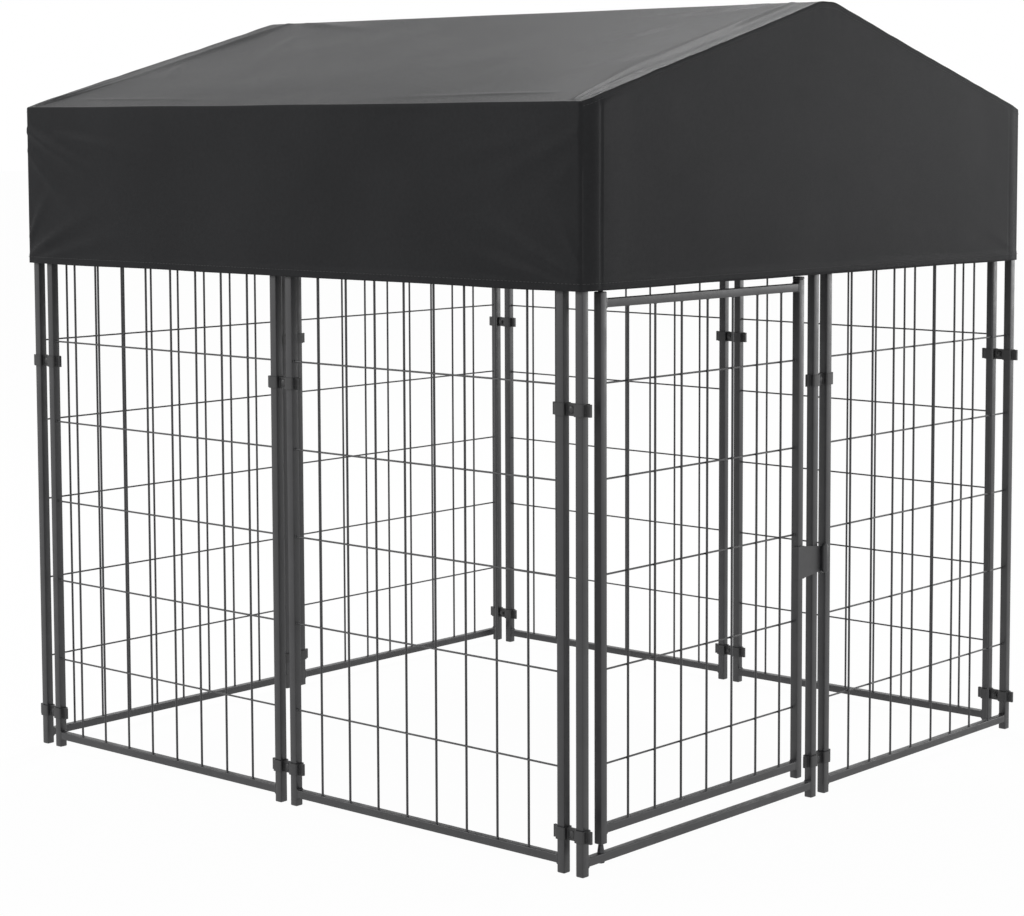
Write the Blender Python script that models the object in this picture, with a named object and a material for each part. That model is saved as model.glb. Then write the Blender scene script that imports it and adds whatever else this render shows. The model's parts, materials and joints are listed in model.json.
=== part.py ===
"""
Outdoor dog kennel: eight welded wire panels, two to each wall, clamped post to post,
with a hinged door in the front wall and a gabled canopy stretched over a tube roof frame.

Metres, +Z up. The origin is on the floor under the middle of the kennel.
The door wall faces -Y, and -X is on its left as seen from outside.
"""

import math

import bmesh
import bpy
from mathutils import Matrix, Vector

# Fit
GAP = 0.0003  # left between pieces that touch

# Plan of the kennel
PANEL_WIDTH = 0.5815  # between the centre lines of a panel's posts
POST_GAP = 0.037  # between the centre lines of two clamped posts
WALL_X = 0.600  # centre line of the side walls
WALL_Y = 0.637  # centre line of the front and rear walls
PANEL_OFFSET = (PANEL_WIDTH + POST_GAP) / 2  # middle of a panel, from the middle of its wall

# Panels, of square tube
POST_SIDE = 0.0140
RAIL_SIDE = 0.0130
TUBE_CORNER = 0.0008  # leg of the bevel along a tube's corners
POST_TOP = 1.115
POST_TIP = 0.0010  # leg of the bevel round the closed end of a post
BOTTOM_RAIL_Z = 0.0205
TOP_RAIL_Z = 1.085
UPRIGHT_WIRE = (0.0038, 0.0030)  # width and depth
CROSS_WIRE = (0.0030, 0.0024)  # height and depth
UPRIGHT_COUNT = 8
UPRIGHT_PITCH = 0.0643
FIRST_UPRIGHT = 0.0710  # from the post with the wider space
CROSS_COUNT = 7
CROSS_PITCH = 0.143
FIRST_CROSS_Z = 0.160

# Doorway and door
TRANSOM_Z = 0.893
HINGE_X = -0.558
LATCH_STILE_X = -0.060
DOOR_BOTTOM = 0.041
DOOR_TOP = 0.868  # top of the hinge stile, and of the cap on the latch stile
DOOR_LOW_RAIL_Z = 0.063
DOOR_HIGH_RAIL_Z = 0.8508
DOOR_UPRIGHT_COUNT = 7
DOOR_UPRIGHT_PITCH = 0.0644
DOOR_FIRST_UPRIGHT = 0.062  # from the hinge stile
DOOR_CROSS_COUNT = 5
CAP_SIDE = 0.0146
CAP_TOP_SIDE = 0.0116
CAP_HEIGHT = 0.0040
PIN_RADIUS = 0.0035
PIN_HEAD_RADIUS = 0.0062
PIN_HEAD_HEIGHT = 0.0025
PIN_REACH = 0.024  # length of a pin inside the hinge stile
PIN_SIDES = 8

# Latch
LATCH_X = 0.0  # the spindle turns in the space between the middle posts
LATCH_Z = 0.400
LATCH_PLATE = 0.0025
LATCH_STRAP_HEIGHT = 0.054
LATCH_TAB_RADIUS = 0.020
LATCH_FLANGE = 0.011  # how far the strap runs back along the stile's far side
TAB_STEPS = 8
SPINDLE_RADIUS = 0.0040
SPINDLE_SOCKET = 0.0040  # depth of the spindle's seat in the knob
KNOB_LENGTH = 0.050
KNOB_WIDTH = 0.013
KNOB_DEPTH = 0.0085
KNOB_TAPER = ((0.0, 1.0, 1.0), (0.45, 1.0, 1.0), (0.8, 0.82, 0.95), (1.0, 0.5, 0.88))
SLOT_STEPS = 4
CAM_LENGTH = 0.036
CAM_WIDTH = 0.012
CAM_DEPTH = 0.0030
CAM_CLEARANCE = 0.0010  # behind the posts
FLANGE_DEPTH = 0.0020

# Clamps
CLAMP_HEIGHTS = {"low": 0.061, "high": 0.696}
CLAMP_LENGTH = 0.073
CLAMP_HEIGHT = 0.019
CLAMP_PLATE = 0.002
CLAMP_BEND = 0.0010  # leg of the bevel along a clamp's outer folds
BOLT_RADIUS = 0.0030
BOLT_HEAD_RADIUS = 0.0058
BOLT_HEAD_HEIGHT = 0.0024
NUT_RADIUS = 0.0057
NUT_HEIGHT = 0.0050
BOLT_SIDES = 6

# Roof frame and canopy
CLOTH_OFFSET = 0.0105  # from a tube's centre line to the cloth's outer face
CLOTH_EDGE = 0.0030  # radius of the cloth's outer face where it turns over a tube
CLOTH_THICKNESS = 0.0015
RIDGE_TOP = 1.3125
RIDGE_HALF = 0.022  # half the width of the cloth's level top over the ridge
ROOF_PITCH = math.radians(16.3)
HEM_Z = 0.870
SLEEVE_SIDE = 0.0170
SLEEVE_CORNER = 0.0012  # leg of the bevel along a sleeve's corners
SLEEVE_LENGTH = 0.055  # from a fitting's middle to a socket's mouth
SLEEVE_BORE = POST_SIDE + 2 * GAP
SLEEVE_BOTTOM = 1.0945
ELBOW_BEND = 0.014
ELBOW_BEND_STEPS = 2
APEX_MIDDLE = 0.025  # solid middle of an apex fitting, from its centre
APEX_CLEARANCE = 0.0005  # between an apex fitting and the cloth
RIDGE_AXIS_Z = RIDGE_TOP - CLOTH_THICKNESS - APEX_CLEARANCE - SLEEVE_SIDE / 2
SLOPE_TOP_Z = RIDGE_TOP + RIDGE_HALF * math.tan(ROOF_PITCH)  # where the cloth's slopes would meet
RAFTER_TOP_Z = SLOPE_TOP_Z - CLOTH_OFFSET / math.cos(ROOF_PITCH)  # where the rafters would meet
EAVE_AXIS_Z = RAFTER_TOP_Z - WALL_X * math.tan(ROOF_PITCH)
ROOF_STATIONS = 10
SIDE_STATIONS = 8
CORNER_STEPS = 2
EDGE_STEPS = 2
VALANCE_LEVELS = 4
FOLD_HEIGHT = 0.0045
FOLD_WIDTH = 0.055
FOLD_INSET = 0.05  # from a wall's corner to where a fold starts
FOLD_MARGIN = 0.02  # from the hem, or the eave, to where a fold starts
LOW_FOLD = (0.30, 0.15)  # run and rise of the fold from a lower corner
HIGH_FOLD = (0.34, -0.17)  # run and fall of the fold from an upper corner
HEM_BAND = 0.03  # the hem lies flat over this height

SMOOTH_ANGLE = math.radians(40)  # edges that turn further than this stay sharp
X = Vector((1, 0, 0))
Y = Vector((0, 1, 0))
Z = Vector((0, 0, 1))


# Scene and materials


def clear_scene():
    for item in list(bpy.data.objects):
        bpy.data.objects.remove(item)


def make_material(name, color, roughness, metallic):
    material = bpy.data.materials.new(name)
    material.use_nodes = True
    shader = material.node_tree.nodes["Principled BSDF"]
    shader.inputs["Base Color"].default_value = (*color, 1.0)
    shader.inputs["Roughness"].default_value = roughness
    shader.inputs["Metallic"].default_value = metallic
    return material


def make_materials():
    return {
        "frame_paint": make_material("frame_paint", (0.045, 0.045, 0.048), 0.45, 0.0),
        "clamp_paint": make_material("clamp_paint", (0.035, 0.035, 0.037), 0.50, 0.0),
        "pin_steel": make_material("pin_steel", (0.05, 0.05, 0.05), 0.40, 1.0),
        "latch_paint": make_material("latch_paint", (0.025, 0.025, 0.027), 0.40, 0.0),
        "cap_plastic": make_material("cap_plastic", (0.020, 0.020, 0.021), 0.55, 0.0),
        "cover_cloth": make_material("cover_cloth", (0.055, 0.056, 0.060), 0.60, 0.0),
    }


# Rings, lofts and Booleans


def ring(center, u, v, radius, sides):
    """A regular polygon round center in the plane of u and v, with a flat that faces u."""
    points = []
    for i in range(sides):
        angle = 2 * math.pi * (i + 0.5) / sides
        points.append(center + u * (radius * math.cos(angle)) + v * (radius * math.sin(angle)))
    return points


def square_ring(center, u, v, side, corner):
    """A square with bevelled corners round center, in the plane of u and v."""
    far = side / 2
    near = far - corner
    right_side = [(near, -far), (far, -near), (far, near), (near, far)]
    left_side = [(-near, far), (-far, near), (-far, -near), (-near, -far)]
    return [center + u * across + v * up for across, up in right_side + left_side]


def add_loft(bm, rings):
    """A closed solid through rings of equally many points, capped at both ends."""
    rows = [[bm.verts.new(point) for point in points] for points in rings]
    count = len(rows[0])
    for low, high in zip(rows, rows[1:]):
        for i in range(count):
            j = (i + 1) % count
            bm.faces.new((low[i], low[j], high[j], high[i]))
    bm.faces.new(rows[0])
    bm.faces.new(rows[-1])


def add_rod(bm, start, end, radius, sides, side_axis=X):
    """A straight round rod with a flat that faces side_axis."""
    other = (end - start).normalized().cross(side_axis)
    add_loft(bm, [ring(point, side_axis, other, radius, sides) for point in (start, end)])


def add_tube(bm, start, end, side, side_axis=X, corner=TUBE_CORNER, tip=0.0):
    """A straight square tube with a face that looks along side_axis, bevelled at its ends."""
    along = (end - start).normalized()
    other = along.cross(side_axis)
    stations = [(start, side), (end, side)]
    if tip:
        stations = [(start, side - 2 * tip), (start + along * tip, side)]
        stations += [(end - along * tip, side), (end, side - 2 * tip)]
    add_loft(bm, [square_ring(spot, side_axis, other, width, corner) for spot, width in stations])


def add_bar(bm, low, high):
    """A square bar between two opposite corners."""
    corners = [(low.x, low.y), (high.x, low.y), (high.x, high.y), (low.x, high.y)]
    add_loft(bm, [[Vector((x, y, z)) for x, y in corners] for z in (low.z, high.z)])


def add_plate(bm, outline, start, depth):
    """An outline of points, thickened by the vector depth from start."""
    add_loft(bm, [[start + point for point in outline], [start + depth + point for point in outline]])


def shade(mesh):
    mesh.shade_smooth()
    mesh.set_sharp_from_angle(angle=SMOOTH_ANGLE)


def finish_mesh(bm, name):
    bmesh.ops.recalc_face_normals(bm, faces=bm.faces)
    mesh = bpy.data.meshes.new(name)
    bm.to_mesh(mesh)
    bm.free()
    shade(mesh)
    return mesh


def place(name, mesh, material=None, location=(0, 0, 0), turn=0.0, parent=None):
    """An object of its own for a mesh, set down at a place and turned about Z."""
    item = bpy.data.objects.new(name, mesh)
    bpy.context.scene.collection.objects.link(item)
    item.location = location
    item.rotation_euler = (0, 0, turn)
    if material and not mesh.materials:
        mesh.materials.append(material)
    if parent:
        hang_on(item, parent)
    return item


def hang_on(item, parent):
    """Parent an object and leave it where it is."""
    bpy.context.view_layer.update()
    item.parent = parent
    item.matrix_parent_inverse = parent.matrix_world.inverted()


def axis_empty(name, location):
    """An empty on a joint's axis, to carry what turns on it."""
    axis = bpy.data.objects.new(name, None)
    axis.location = location
    bpy.context.scene.collection.objects.link(axis)
    return axis


def combine(base, steps, name):
    """The mesh of base after each (operation, mesh) step of a Boolean."""
    item = place(name, base)
    tools = []
    for operation, mesh in steps:
        tool = place(name + "_tool", mesh)
        tool.display_type = "WIRE"
        tool.hide_render = True
        modifier = item.modifiers.new(operation.title(), "BOOLEAN")
        modifier.operation = operation
        modifier.solver = "EXACT"
        modifier.object = tool
        tools.append(tool)
    graph = bpy.context.evaluated_depsgraph_get()
    result = bpy.data.meshes.new_from_object(item.evaluated_get(graph))
    result.name = name
    shade(result)
    for used in [item, *tools]:
        bpy.data.objects.remove(used)
    return result


# Welded panels and door


def posts_mesh(centers, bottom, tops, name):
    bm = bmesh.new()
    for x, top in zip(centers, tops):
        add_tube(bm, Vector((x, 0, bottom)), Vector((x, 0, top)), POST_SIDE, tip=POST_TIP)
    return finish_mesh(bm, name)


def rails_mesh(heights, x_from, x_to, name):
    bm = bmesh.new()
    for z in heights:
        add_tube(bm, Vector((x_from, 0, z)), Vector((x_to, 0, z)), RAIL_SIDE, Z)
    return finish_mesh(bm, name)


def uprights_mesh(centers, bottom, top, name):
    """Upright wires, on the outer side of the panel's middle plane."""
    width, depth = UPRIGHT_WIRE
    bm = bmesh.new()
    for x in centers:
        add_bar(bm, Vector((x - width / 2, -depth, bottom)), Vector((x + width / 2, 0, top)))
    return finish_mesh(bm, name)


def cross_wires_mesh(heights, x_from, x_to, name):
    """Cross wires, welded to the inner side of the uprights."""
    height, depth = CROSS_WIRE
    bm = bmesh.new()
    for z in heights:
        add_bar(bm, Vector((x_from, 0, z - height / 2)), Vector((x_to, depth, z + height / 2)))
    return finish_mesh(bm, name)


def welded_mesh(name, posts, rails, uprights, cross_wires, bores=None):
    steps = [("UNION", rails), ("UNION", uprights), ("UNION", cross_wires)]
    if bores:
        steps.append(("DIFFERENCE", bores))
    return combine(posts, steps, name)


def panel_uprights():
    return [-PANEL_WIDTH / 2 + FIRST_UPRIGHT + i * UPRIGHT_PITCH for i in range(UPRIGHT_COUNT)]


def panel_cross_heights(count=CROSS_COUNT):
    return [FIRST_CROSS_Z + i * CROSS_PITCH for i in range(count)]


def plain_panel_mesh():
    half = PANEL_WIDTH / 2
    return welded_mesh(
        "plain_panel",
        posts_mesh((-half, half), 0, (POST_TOP, POST_TOP), "panel_posts"),
        rails_mesh((BOTTOM_RAIL_Z, TOP_RAIL_Z), -half, half, "panel_rails"),
        uprights_mesh(panel_uprights(), BOTTOM_RAIL_Z, TOP_RAIL_Z, "panel_uprights"),
        cross_wires_mesh(panel_cross_heights(), -half, half, "panel_cross_wires"),
    )


def pin_bores_mesh(spans, x):
    """Round cutters for the hinge pins, one for each span of heights."""
    bm = bmesh.new()
    for low, high in spans:
        add_rod(bm, Vector((x, 0, low)), Vector((x, 0, high)), PIN_RADIUS + 2 * GAP, PIN_SIDES)
    return finish_mesh(bm, "pin_bores")


def door_panel_mesh():
    """The panel round the doorway: a sill, a transom, and a short mesh over the transom."""
    half = PANEL_WIDTH / 2
    pin_x = HINGE_X + PANEL_OFFSET
    rails = (BOTTOM_RAIL_Z, TRANSOM_Z)
    bores = pin_bores_mesh([(z - RAIL_SIDE, z + RAIL_SIDE) for z in rails], pin_x)
    return welded_mesh(
        "front_door_panel",
        posts_mesh((-half, half), 0, (POST_TOP, POST_TOP), "doorway_posts"),
        rails_mesh((BOTTOM_RAIL_Z, TRANSOM_Z, TOP_RAIL_Z), -half, half, "doorway_rails"),
        uprights_mesh(panel_uprights(), TRANSOM_Z, TOP_RAIL_Z, "doorway_uprights"),
        cross_wires_mesh(panel_cross_heights()[-1:], -half, half, "doorway_cross_wires"),
        bores,
    )


def door_mesh():
    """The door, with its hinge stile on x = 0 and a blind bore in each end of that stile."""
    width = LATCH_STILE_X - HINGE_X
    uprights = [DOOR_FIRST_UPRIGHT + i * DOOR_UPRIGHT_PITCH for i in range(DOOR_UPRIGHT_COUNT)]
    reach = PIN_REACH + 2 * GAP
    bores = pin_bores_mesh(
        [(DOOR_BOTTOM - reach, DOOR_BOTTOM + reach), (DOOR_TOP - reach, DOOR_TOP + reach)], 0
    )
    return welded_mesh(
        "door",
        posts_mesh((0, width), DOOR_BOTTOM, (DOOR_TOP, DOOR_TOP - CAP_HEIGHT), "door_stiles"),
        rails_mesh((DOOR_LOW_RAIL_Z, DOOR_HIGH_RAIL_Z), 0, width, "door_rails"),
        uprights_mesh(uprights, DOOR_LOW_RAIL_Z, DOOR_HIGH_RAIL_Z, "door_uprights"),
        cross_wires_mesh(panel_cross_heights(DOOR_CROSS_COUNT), 0, width, "door_cross_wires"),
        bores,
    )


def build_panels(materials):
    paint = materials["frame_paint"]
    plain = plain_panel_mesh()
    place("front_door_panel", door_panel_mesh(), paint, (-PANEL_OFFSET, -WALL_Y, 0))
    quarter = math.pi / 2
    places = {
        "front_right_panel": (PANEL_OFFSET, -WALL_Y, 0),
        "left_front_panel": (-WALL_X, -PANEL_OFFSET, quarter),
        "left_rear_panel": (-WALL_X, PANEL_OFFSET, quarter),
        "right_front_panel": (WALL_X, -PANEL_OFFSET, -quarter),
        "right_rear_panel": (WALL_X, PANEL_OFFSET, -quarter),
        "rear_left_panel": (-PANEL_OFFSET, WALL_Y, 2 * quarter),
        "rear_right_panel": (PANEL_OFFSET, WALL_Y, 2 * quarter),
    }
    for name, (x, y, turn) in places.items():
        place(name, plain, paint, (x, y, 0), turn)


def stile_cap_mesh():
    """A low plug that closes the top of the latch stile."""
    bottom = DOOR_TOP - CAP_HEIGHT + GAP
    stations = [(bottom, CAP_SIDE), (DOOR_TOP - CAP_HEIGHT / 2, CAP_SIDE)]
    stations.append((DOOR_TOP, CAP_TOP_SIDE))
    bm = bmesh.new()
    add_loft(bm, [square_ring(Z * z, X, Y, side, TUBE_CORNER) for z, side in stations])
    return finish_mesh(bm, "door_stile_cap")


def build_door(materials):
    hinge = axis_empty("door_hinge_axis", (HINGE_X, -WALL_Y, 0))
    place("door", door_mesh(), materials["frame_paint"], hinge.location, parent=hinge)
    cap_spot = (LATCH_STILE_X, -WALL_Y, 0)
    place("door_stile_cap", stile_cap_mesh(), materials["cap_plastic"], cap_spot, parent=hinge)
    return hinge


def hinge_pin_mesh(head_z, outward):
    """A pin with its head outside a rail. It runs through the rail into the hinge stile."""
    tip = PIN_HEAD_HEIGHT + RAIL_SIDE + GAP + PIN_REACH
    if outward < 0:
        tip += DOOR_BOTTOM - BOTTOM_RAIL_Z - RAIL_SIDE / 2
    else:
        tip += TRANSOM_Z - RAIL_SIDE / 2 - DOOR_TOP
    stations = [(0, PIN_HEAD_RADIUS), (PIN_HEAD_HEIGHT, PIN_HEAD_RADIUS)]
    stations += [(PIN_HEAD_HEIGHT, PIN_RADIUS), (tip - 0.001, PIN_RADIUS), (tip, 0.7 * PIN_RADIUS)]
    rings = [
        ring(Vector((0, 0, head_z - outward * depth)), X, Y, radius, PIN_SIDES)
        for depth, radius in stations
    ]
    bm = bmesh.new()
    add_loft(bm, rings)
    return finish_mesh(bm, "hinge_pin")


def build_hinge_pins(materials):
    low_head = BOTTOM_RAIL_Z - RAIL_SIDE / 2 - GAP - PIN_HEAD_HEIGHT
    high_head = TRANSOM_Z + RAIL_SIDE / 2 + GAP + PIN_HEAD_HEIGHT
    for name, head_z, outward in (("bottom", low_head, -1), ("top", high_head, 1)):
        mesh = hinge_pin_mesh(head_z, outward)
        place("hinge_pin_" + name, mesh, materials["pin_steel"], (HINGE_X, -WALL_Y, 0))


# Latch, modelled about its spindle, with the posts' centre lines on y = 0


def arc_points(radius, start, end, steps, u, v):
    """Points on an arc about the origin, from start to end degrees."""
    points = []
    for i in range(steps + 1):
        angle = math.radians(start + (end - start) * i / steps)
        points.append(u * (radius * math.cos(angle)) + v * (radius * math.sin(angle)))
    return points


def spindle_bore_mesh(y_from, y_to):
    bm = bmesh.new()
    radius = SPINDLE_RADIUS + 2 * GAP
    add_rod(bm, Vector((0, y_from, 0)), Vector((0, y_to, 0)), radius, PIN_SIDES)
    return finish_mesh(bm, "spindle_bore")


def latch_plate_mesh():
    """A strap folded round the latch stile, and a tapered tab that carries the spindle."""
    inner = POST_SIDE / 2 + GAP
    outer = inner + LATCH_PLATE
    stile_x = LATCH_STILE_X - LATCH_X
    half = LATCH_STRAP_HEIGHT / 2
    fold = [(inner, -inner), (-inner, -inner), (-inner, LATCH_FLANGE - outer)]
    fold += [(-outer, LATCH_FLANGE - outer), (-outer, TUBE_CORNER - outer)]
    fold += [(TUBE_CORNER - outer, -outer), (inner, -outer)]
    strap = bmesh.new()
    outline = [Vector((x, y, 0)) for x, y in fold]
    add_plate(strap, outline, Vector((stile_x, 0, -half)), Z * LATCH_STRAP_HEIGHT)
    outline = [Vector((stile_x, 0, half))]
    outline += arc_points(LATCH_TAB_RADIUS, 90, -90, TAB_STEPS, X, Z)
    outline += [Vector((stile_x, 0, -half))]
    tab = bmesh.new()
    add_plate(tab, outline, Vector((0, -outer, 0)), Y * LATCH_PLATE)
    return combine(
        finish_mesh(strap, "latch_strap"),
        [
            ("UNION", finish_mesh(tab, "latch_tab")),
            ("DIFFERENCE", spindle_bore_mesh(-2 * outer, 0)),
        ],
        "latch_plate",
    )


def slot_outline(length, width):
    """A round-ended slot standing upright in the plane of X and Z."""
    reach = Z * ((length - width) / 2)
    top = [point + reach for point in arc_points(width / 2, 0, 180, SLOT_STEPS, X, Z)]
    low = [point - reach for point in arc_points(width / 2, 180, 360, SLOT_STEPS, X, Z)]
    return top + low


def latch_knob_mesh(back_y):
    """A grip that narrows from its back to its front, with a blind seat for the spindle."""
    rings = []
    for depth, width_share, length_share in KNOB_TAPER:
        outline = slot_outline(KNOB_LENGTH * length_share, KNOB_WIDTH * width_share)
        rings.append([Vector((0, back_y - KNOB_DEPTH * depth, 0)) + point for point in outline])
    bm = bmesh.new()
    add_loft(bm, rings)
    seat = spindle_bore_mesh(back_y - SPINDLE_SOCKET - GAP, back_y + SPINDLE_SOCKET)
    return combine(finish_mesh(bm, "knob_grip"), [("DIFFERENCE", seat)], "latch_knob")


def latch_cam_mesh(front_y):
    bm = bmesh.new()
    add_plate(bm, slot_outline(CAM_LENGTH, CAM_WIDTH), Vector((0, front_y, 0)), Y * CAM_DEPTH)
    bore = spindle_bore_mesh(front_y - CAM_DEPTH, front_y + 2 * CAM_DEPTH)
    return combine(finish_mesh(bm, "cam_plate"), [("DIFFERENCE", bore)], "latch_cam")


def latch_spindle_mesh(front_y, cam_back_y):
    """A shaft from the knob's seat to a flange behind the cam."""
    flange_y = cam_back_y + GAP
    stations = [(front_y, SPINDLE_RADIUS), (flange_y, SPINDLE_RADIUS), (flange_y, CAM_WIDTH / 2)]
    stations += [(flange_y + FLANGE_DEPTH, CAM_WIDTH / 2)]
    rings = [ring(Vector((0, y, 0)), X, Z, radius, PIN_SIDES) for y, radius in stations]
    bm = bmesh.new()
    add_loft(bm, rings)
    return finish_mesh(bm, "latch_spindle")


def build_latch(materials, door_hinge):
    spot = Vector((LATCH_X, -WALL_Y, LATCH_Z))
    paint = materials["latch_paint"]
    place("latch_plate", latch_plate_mesh(), materials["latch_paint"], spot, parent=door_hinge)
    axis = axis_empty("latch_axis", spot)
    hang_on(axis, door_hinge)
    knob_back = -(POST_SIDE / 2 + GAP + LATCH_PLATE + GAP)
    cam_front = POST_SIDE / 2 + CAM_CLEARANCE
    spindle = latch_spindle_mesh(knob_back - SPINDLE_SOCKET, cam_front + CAM_DEPTH)
    place("latch_knob", latch_knob_mesh(knob_back), paint, spot, parent=axis)
    place("latch_cam", latch_cam_mesh(cam_front), paint, spot, parent=axis)
    place("latch_spindle", spindle, materials["pin_steel"], spot, parent=axis)


# Clamps, modelled about the point midway between two posts, with -Y outward


def clamp_half_mesh(side):
    """One pressed half: an ear, a channel over each post, a web between them, an ear."""
    half_gap = GAP / 2
    web_face = half_gap + CLAMP_PLATE
    inner = POST_SIDE / 2 + GAP
    outer = inner + CLAMP_PLATE
    end = CLAMP_LENGTH / 2
    points = [(-end, half_gap), (-end, web_face)]
    for x in (-POST_GAP / 2, POST_GAP / 2):
        points += [(x - outer, web_face), (x - outer, outer - CLAMP_BEND)]
        points += [(x - outer + CLAMP_BEND, outer), (x + outer - CLAMP_BEND, outer)]
        points += [(x + outer, outer - CLAMP_BEND), (x + outer, web_face)]
    points += [(end, web_face), (end, half_gap)]
    for x in (POST_GAP / 2, -POST_GAP / 2):
        points += [(x + inner, half_gap), (x + inner, inner), (x - inner, inner), (x - inner, half_gap)]
    outline = [Vector((x, side * y, 0)) for x, y in points]
    bm = bmesh.new()
    add_plate(bm, outline, Vector((0, 0, -CLAMP_HEIGHT / 2)), Z * CLAMP_HEIGHT)
    return finish_mesh(bm, "clamp_half")


def clamp_bolt_mesh():
    """A low domed head outside, the shank, and the nut on the inner half."""
    face = GAP / 2 + CLAMP_PLATE
    nut_y = face + GAP
    stations = [
        (-face - BOLT_HEAD_HEIGHT, 0.5 * BOLT_HEAD_RADIUS),
        (-face - 0.35 * BOLT_HEAD_HEIGHT, BOLT_HEAD_RADIUS),
        (-face + CLAMP_PLATE / 2, BOLT_HEAD_RADIUS),
        (-face + CLAMP_PLATE / 2, BOLT_RADIUS),
        (nut_y, BOLT_RADIUS),
        (nut_y, NUT_RADIUS),
        (nut_y + NUT_HEIGHT, NUT_RADIUS),
    ]
    rings = [ring(Vector((0, y, 0)), X, Z, radius, BOLT_SIDES) for y, radius in stations]
    bm = bmesh.new()
    add_loft(bm, rings)
    return finish_mesh(bm, "clamp_bolt")


def build_clamps(materials):
    paint = materials["clamp_paint"]
    outer = combine(clamp_half_mesh(-1), [("UNION", clamp_bolt_mesh())], "clamp_outer")
    hole = bmesh.new()
    add_rod(hole, Vector((0, 0, 0)), Y * 2 * CLAMP_PLATE, BOLT_RADIUS + 2 * GAP, BOLT_SIDES)
    hole_mesh = finish_mesh(hole, "clamp_hole")
    inner = combine(clamp_half_mesh(1), [("DIFFERENCE", hole_mesh)], "clamp_inner")
    quarter = math.pi / 2
    corner_y = WALL_Y - POST_GAP / 2
    places = {
        "front_clamp": (0, -WALL_Y, 0),
        "rear_clamp": (0, WALL_Y, 2 * quarter),
        "left_clamp": (-WALL_X, 0, -quarter),
        "right_clamp": (WALL_X, 0, quarter),
        "front_left_clamp": (-WALL_X, -corner_y, -quarter),
        "front_right_clamp": (WALL_X, -corner_y, quarter),
        "rear_left_clamp": (-WALL_X, corner_y, -quarter),
        "rear_right_clamp": (WALL_X, corner_y, quarter),
    }
    for name, (x, y, turn) in places.items():
        for level, z in CLAMP_HEIGHTS.items():
            place(f"{name}_{level}_outer", outer, paint, (x, y, z), turn)
            place(f"{name}_{level}_inner", inner, paint, (x, y, z), turn)


# Roof frame


def sweep_rings(path, side, width):
    """Squares along a path that lies in the plane normal to side, mitred at its corners."""
    rings = []
    for i, point in enumerate(path):
        before = path[i] - path[i - 1] if i else path[1] - path[0]
        after = path[i + 1] - path[i] if i + 1 < len(path) else path[-1] - path[-2]
        tangent = (before.normalized() + after.normalized()).normalized()
        spread = 1 / tangent.dot(before.normalized())
        across = tangent.cross(side) * spread
        rings.append(square_ring(point, side, across, width, SLEEVE_CORNER))
    return rings


def add_hollow_sweep(bm, path, side, outer, inner):
    """A bent square tube, open at both ends."""
    shells = []
    for width in (outer, inner):
        rows = []
        for points in sweep_rings(path, side, width):
            rows.append([bm.verts.new(point) for point in points])
        sides = len(rows[0])
        shells.append(rows)
        for low, high in zip(rows, rows[1:]):
            for i in range(sides):
                j = (i + 1) % sides
                bm.faces.new((low[i], low[j], high[j], high[i]))
    for end in (0, -1):
        for i in range(sides):
            j = (i + 1) % sides
            out_row = shells[0][end]
            in_row = shells[1][end]
            bm.faces.new((out_row[i], out_row[j], in_row[j], in_row[i]))


def rafter_direction():
    """Up the slope from the left eave to the ridge, in the plane of X and Z."""
    return Vector((math.cos(ROOF_PITCH), 0, math.sin(ROOF_PITCH)))


def elbow_mesh():
    """A bent sleeve from the top of a left corner post to its rafter."""
    slope = rafter_direction()
    turn = math.pi / 2 - ROOF_PITCH
    tangent = ELBOW_BEND * math.tan(turn / 2)
    corner = Vector((0, 0, EAVE_AXIS_Z))
    bend_center = corner - Z * tangent + X * ELBOW_BEND
    path = [Vector((0, 0, SLEEVE_BOTTOM))]
    for i in range(ELBOW_BEND_STEPS + 1):
        angle = turn * i / ELBOW_BEND_STEPS
        path.append(bend_center + (Z * math.sin(angle) - X * math.cos(angle)) * ELBOW_BEND)
    path.append(corner + slope * SLEEVE_LENGTH)
    bm = bmesh.new()
    add_hollow_sweep(bm, path, Y, SLEEVE_SIDE, SLEEVE_BORE)
    return finish_mesh(bm, "eave_elbow")


def apex_mesh():
    """The fitting at the front end of the ridge: two rafter sockets and one for the ridge."""
    top = Vector((0, 0, RAFTER_TOP_Z))
    low = Vector((0, 0, RIDGE_AXIS_Z))
    up_left = rafter_direction()
    up_right = Vector((-up_left.x, 0, up_left.z))
    bend = X * ((top.z - low.z) / math.tan(ROOF_PITCH))
    path = [top - up_left * SLEEVE_LENGTH, low - bend, low + bend, top - up_right * SLEEVE_LENGTH]
    bent = bmesh.new()
    add_loft(bent, sweep_rings(path, Y, SLEEVE_SIDE))
    branch = bmesh.new()
    add_tube(branch, low, low + Y * SLEEVE_LENGTH, SLEEVE_SIDE, X, SLEEVE_CORNER)
    bores = bmesh.new()
    for middle, way, side in ((top, -up_left, Y), (top, -up_right, Y), (low, Y, X)):
        start = middle + way * APEX_MIDDLE
        end = middle + way * 2 * SLEEVE_LENGTH
        add_tube(bores, start, end, SLEEVE_BORE, side)
    return combine(
        finish_mesh(bent, "apex_bent_sleeve"),
        [("UNION", finish_mesh(branch, "apex_branch")), ("DIFFERENCE", finish_mesh(bores, "bores"))],
        "apex_fitting",
    )


def mirrored(mesh, axis, name):
    """A copy of a mesh mirrored across the plane normal to one axis."""
    scale = Matrix.Scale(-1, 4, axis)
    copy = mesh.copy()
    copy.name = name
    copy.transform(scale)
    copy.flip_normals()
    return copy


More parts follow.
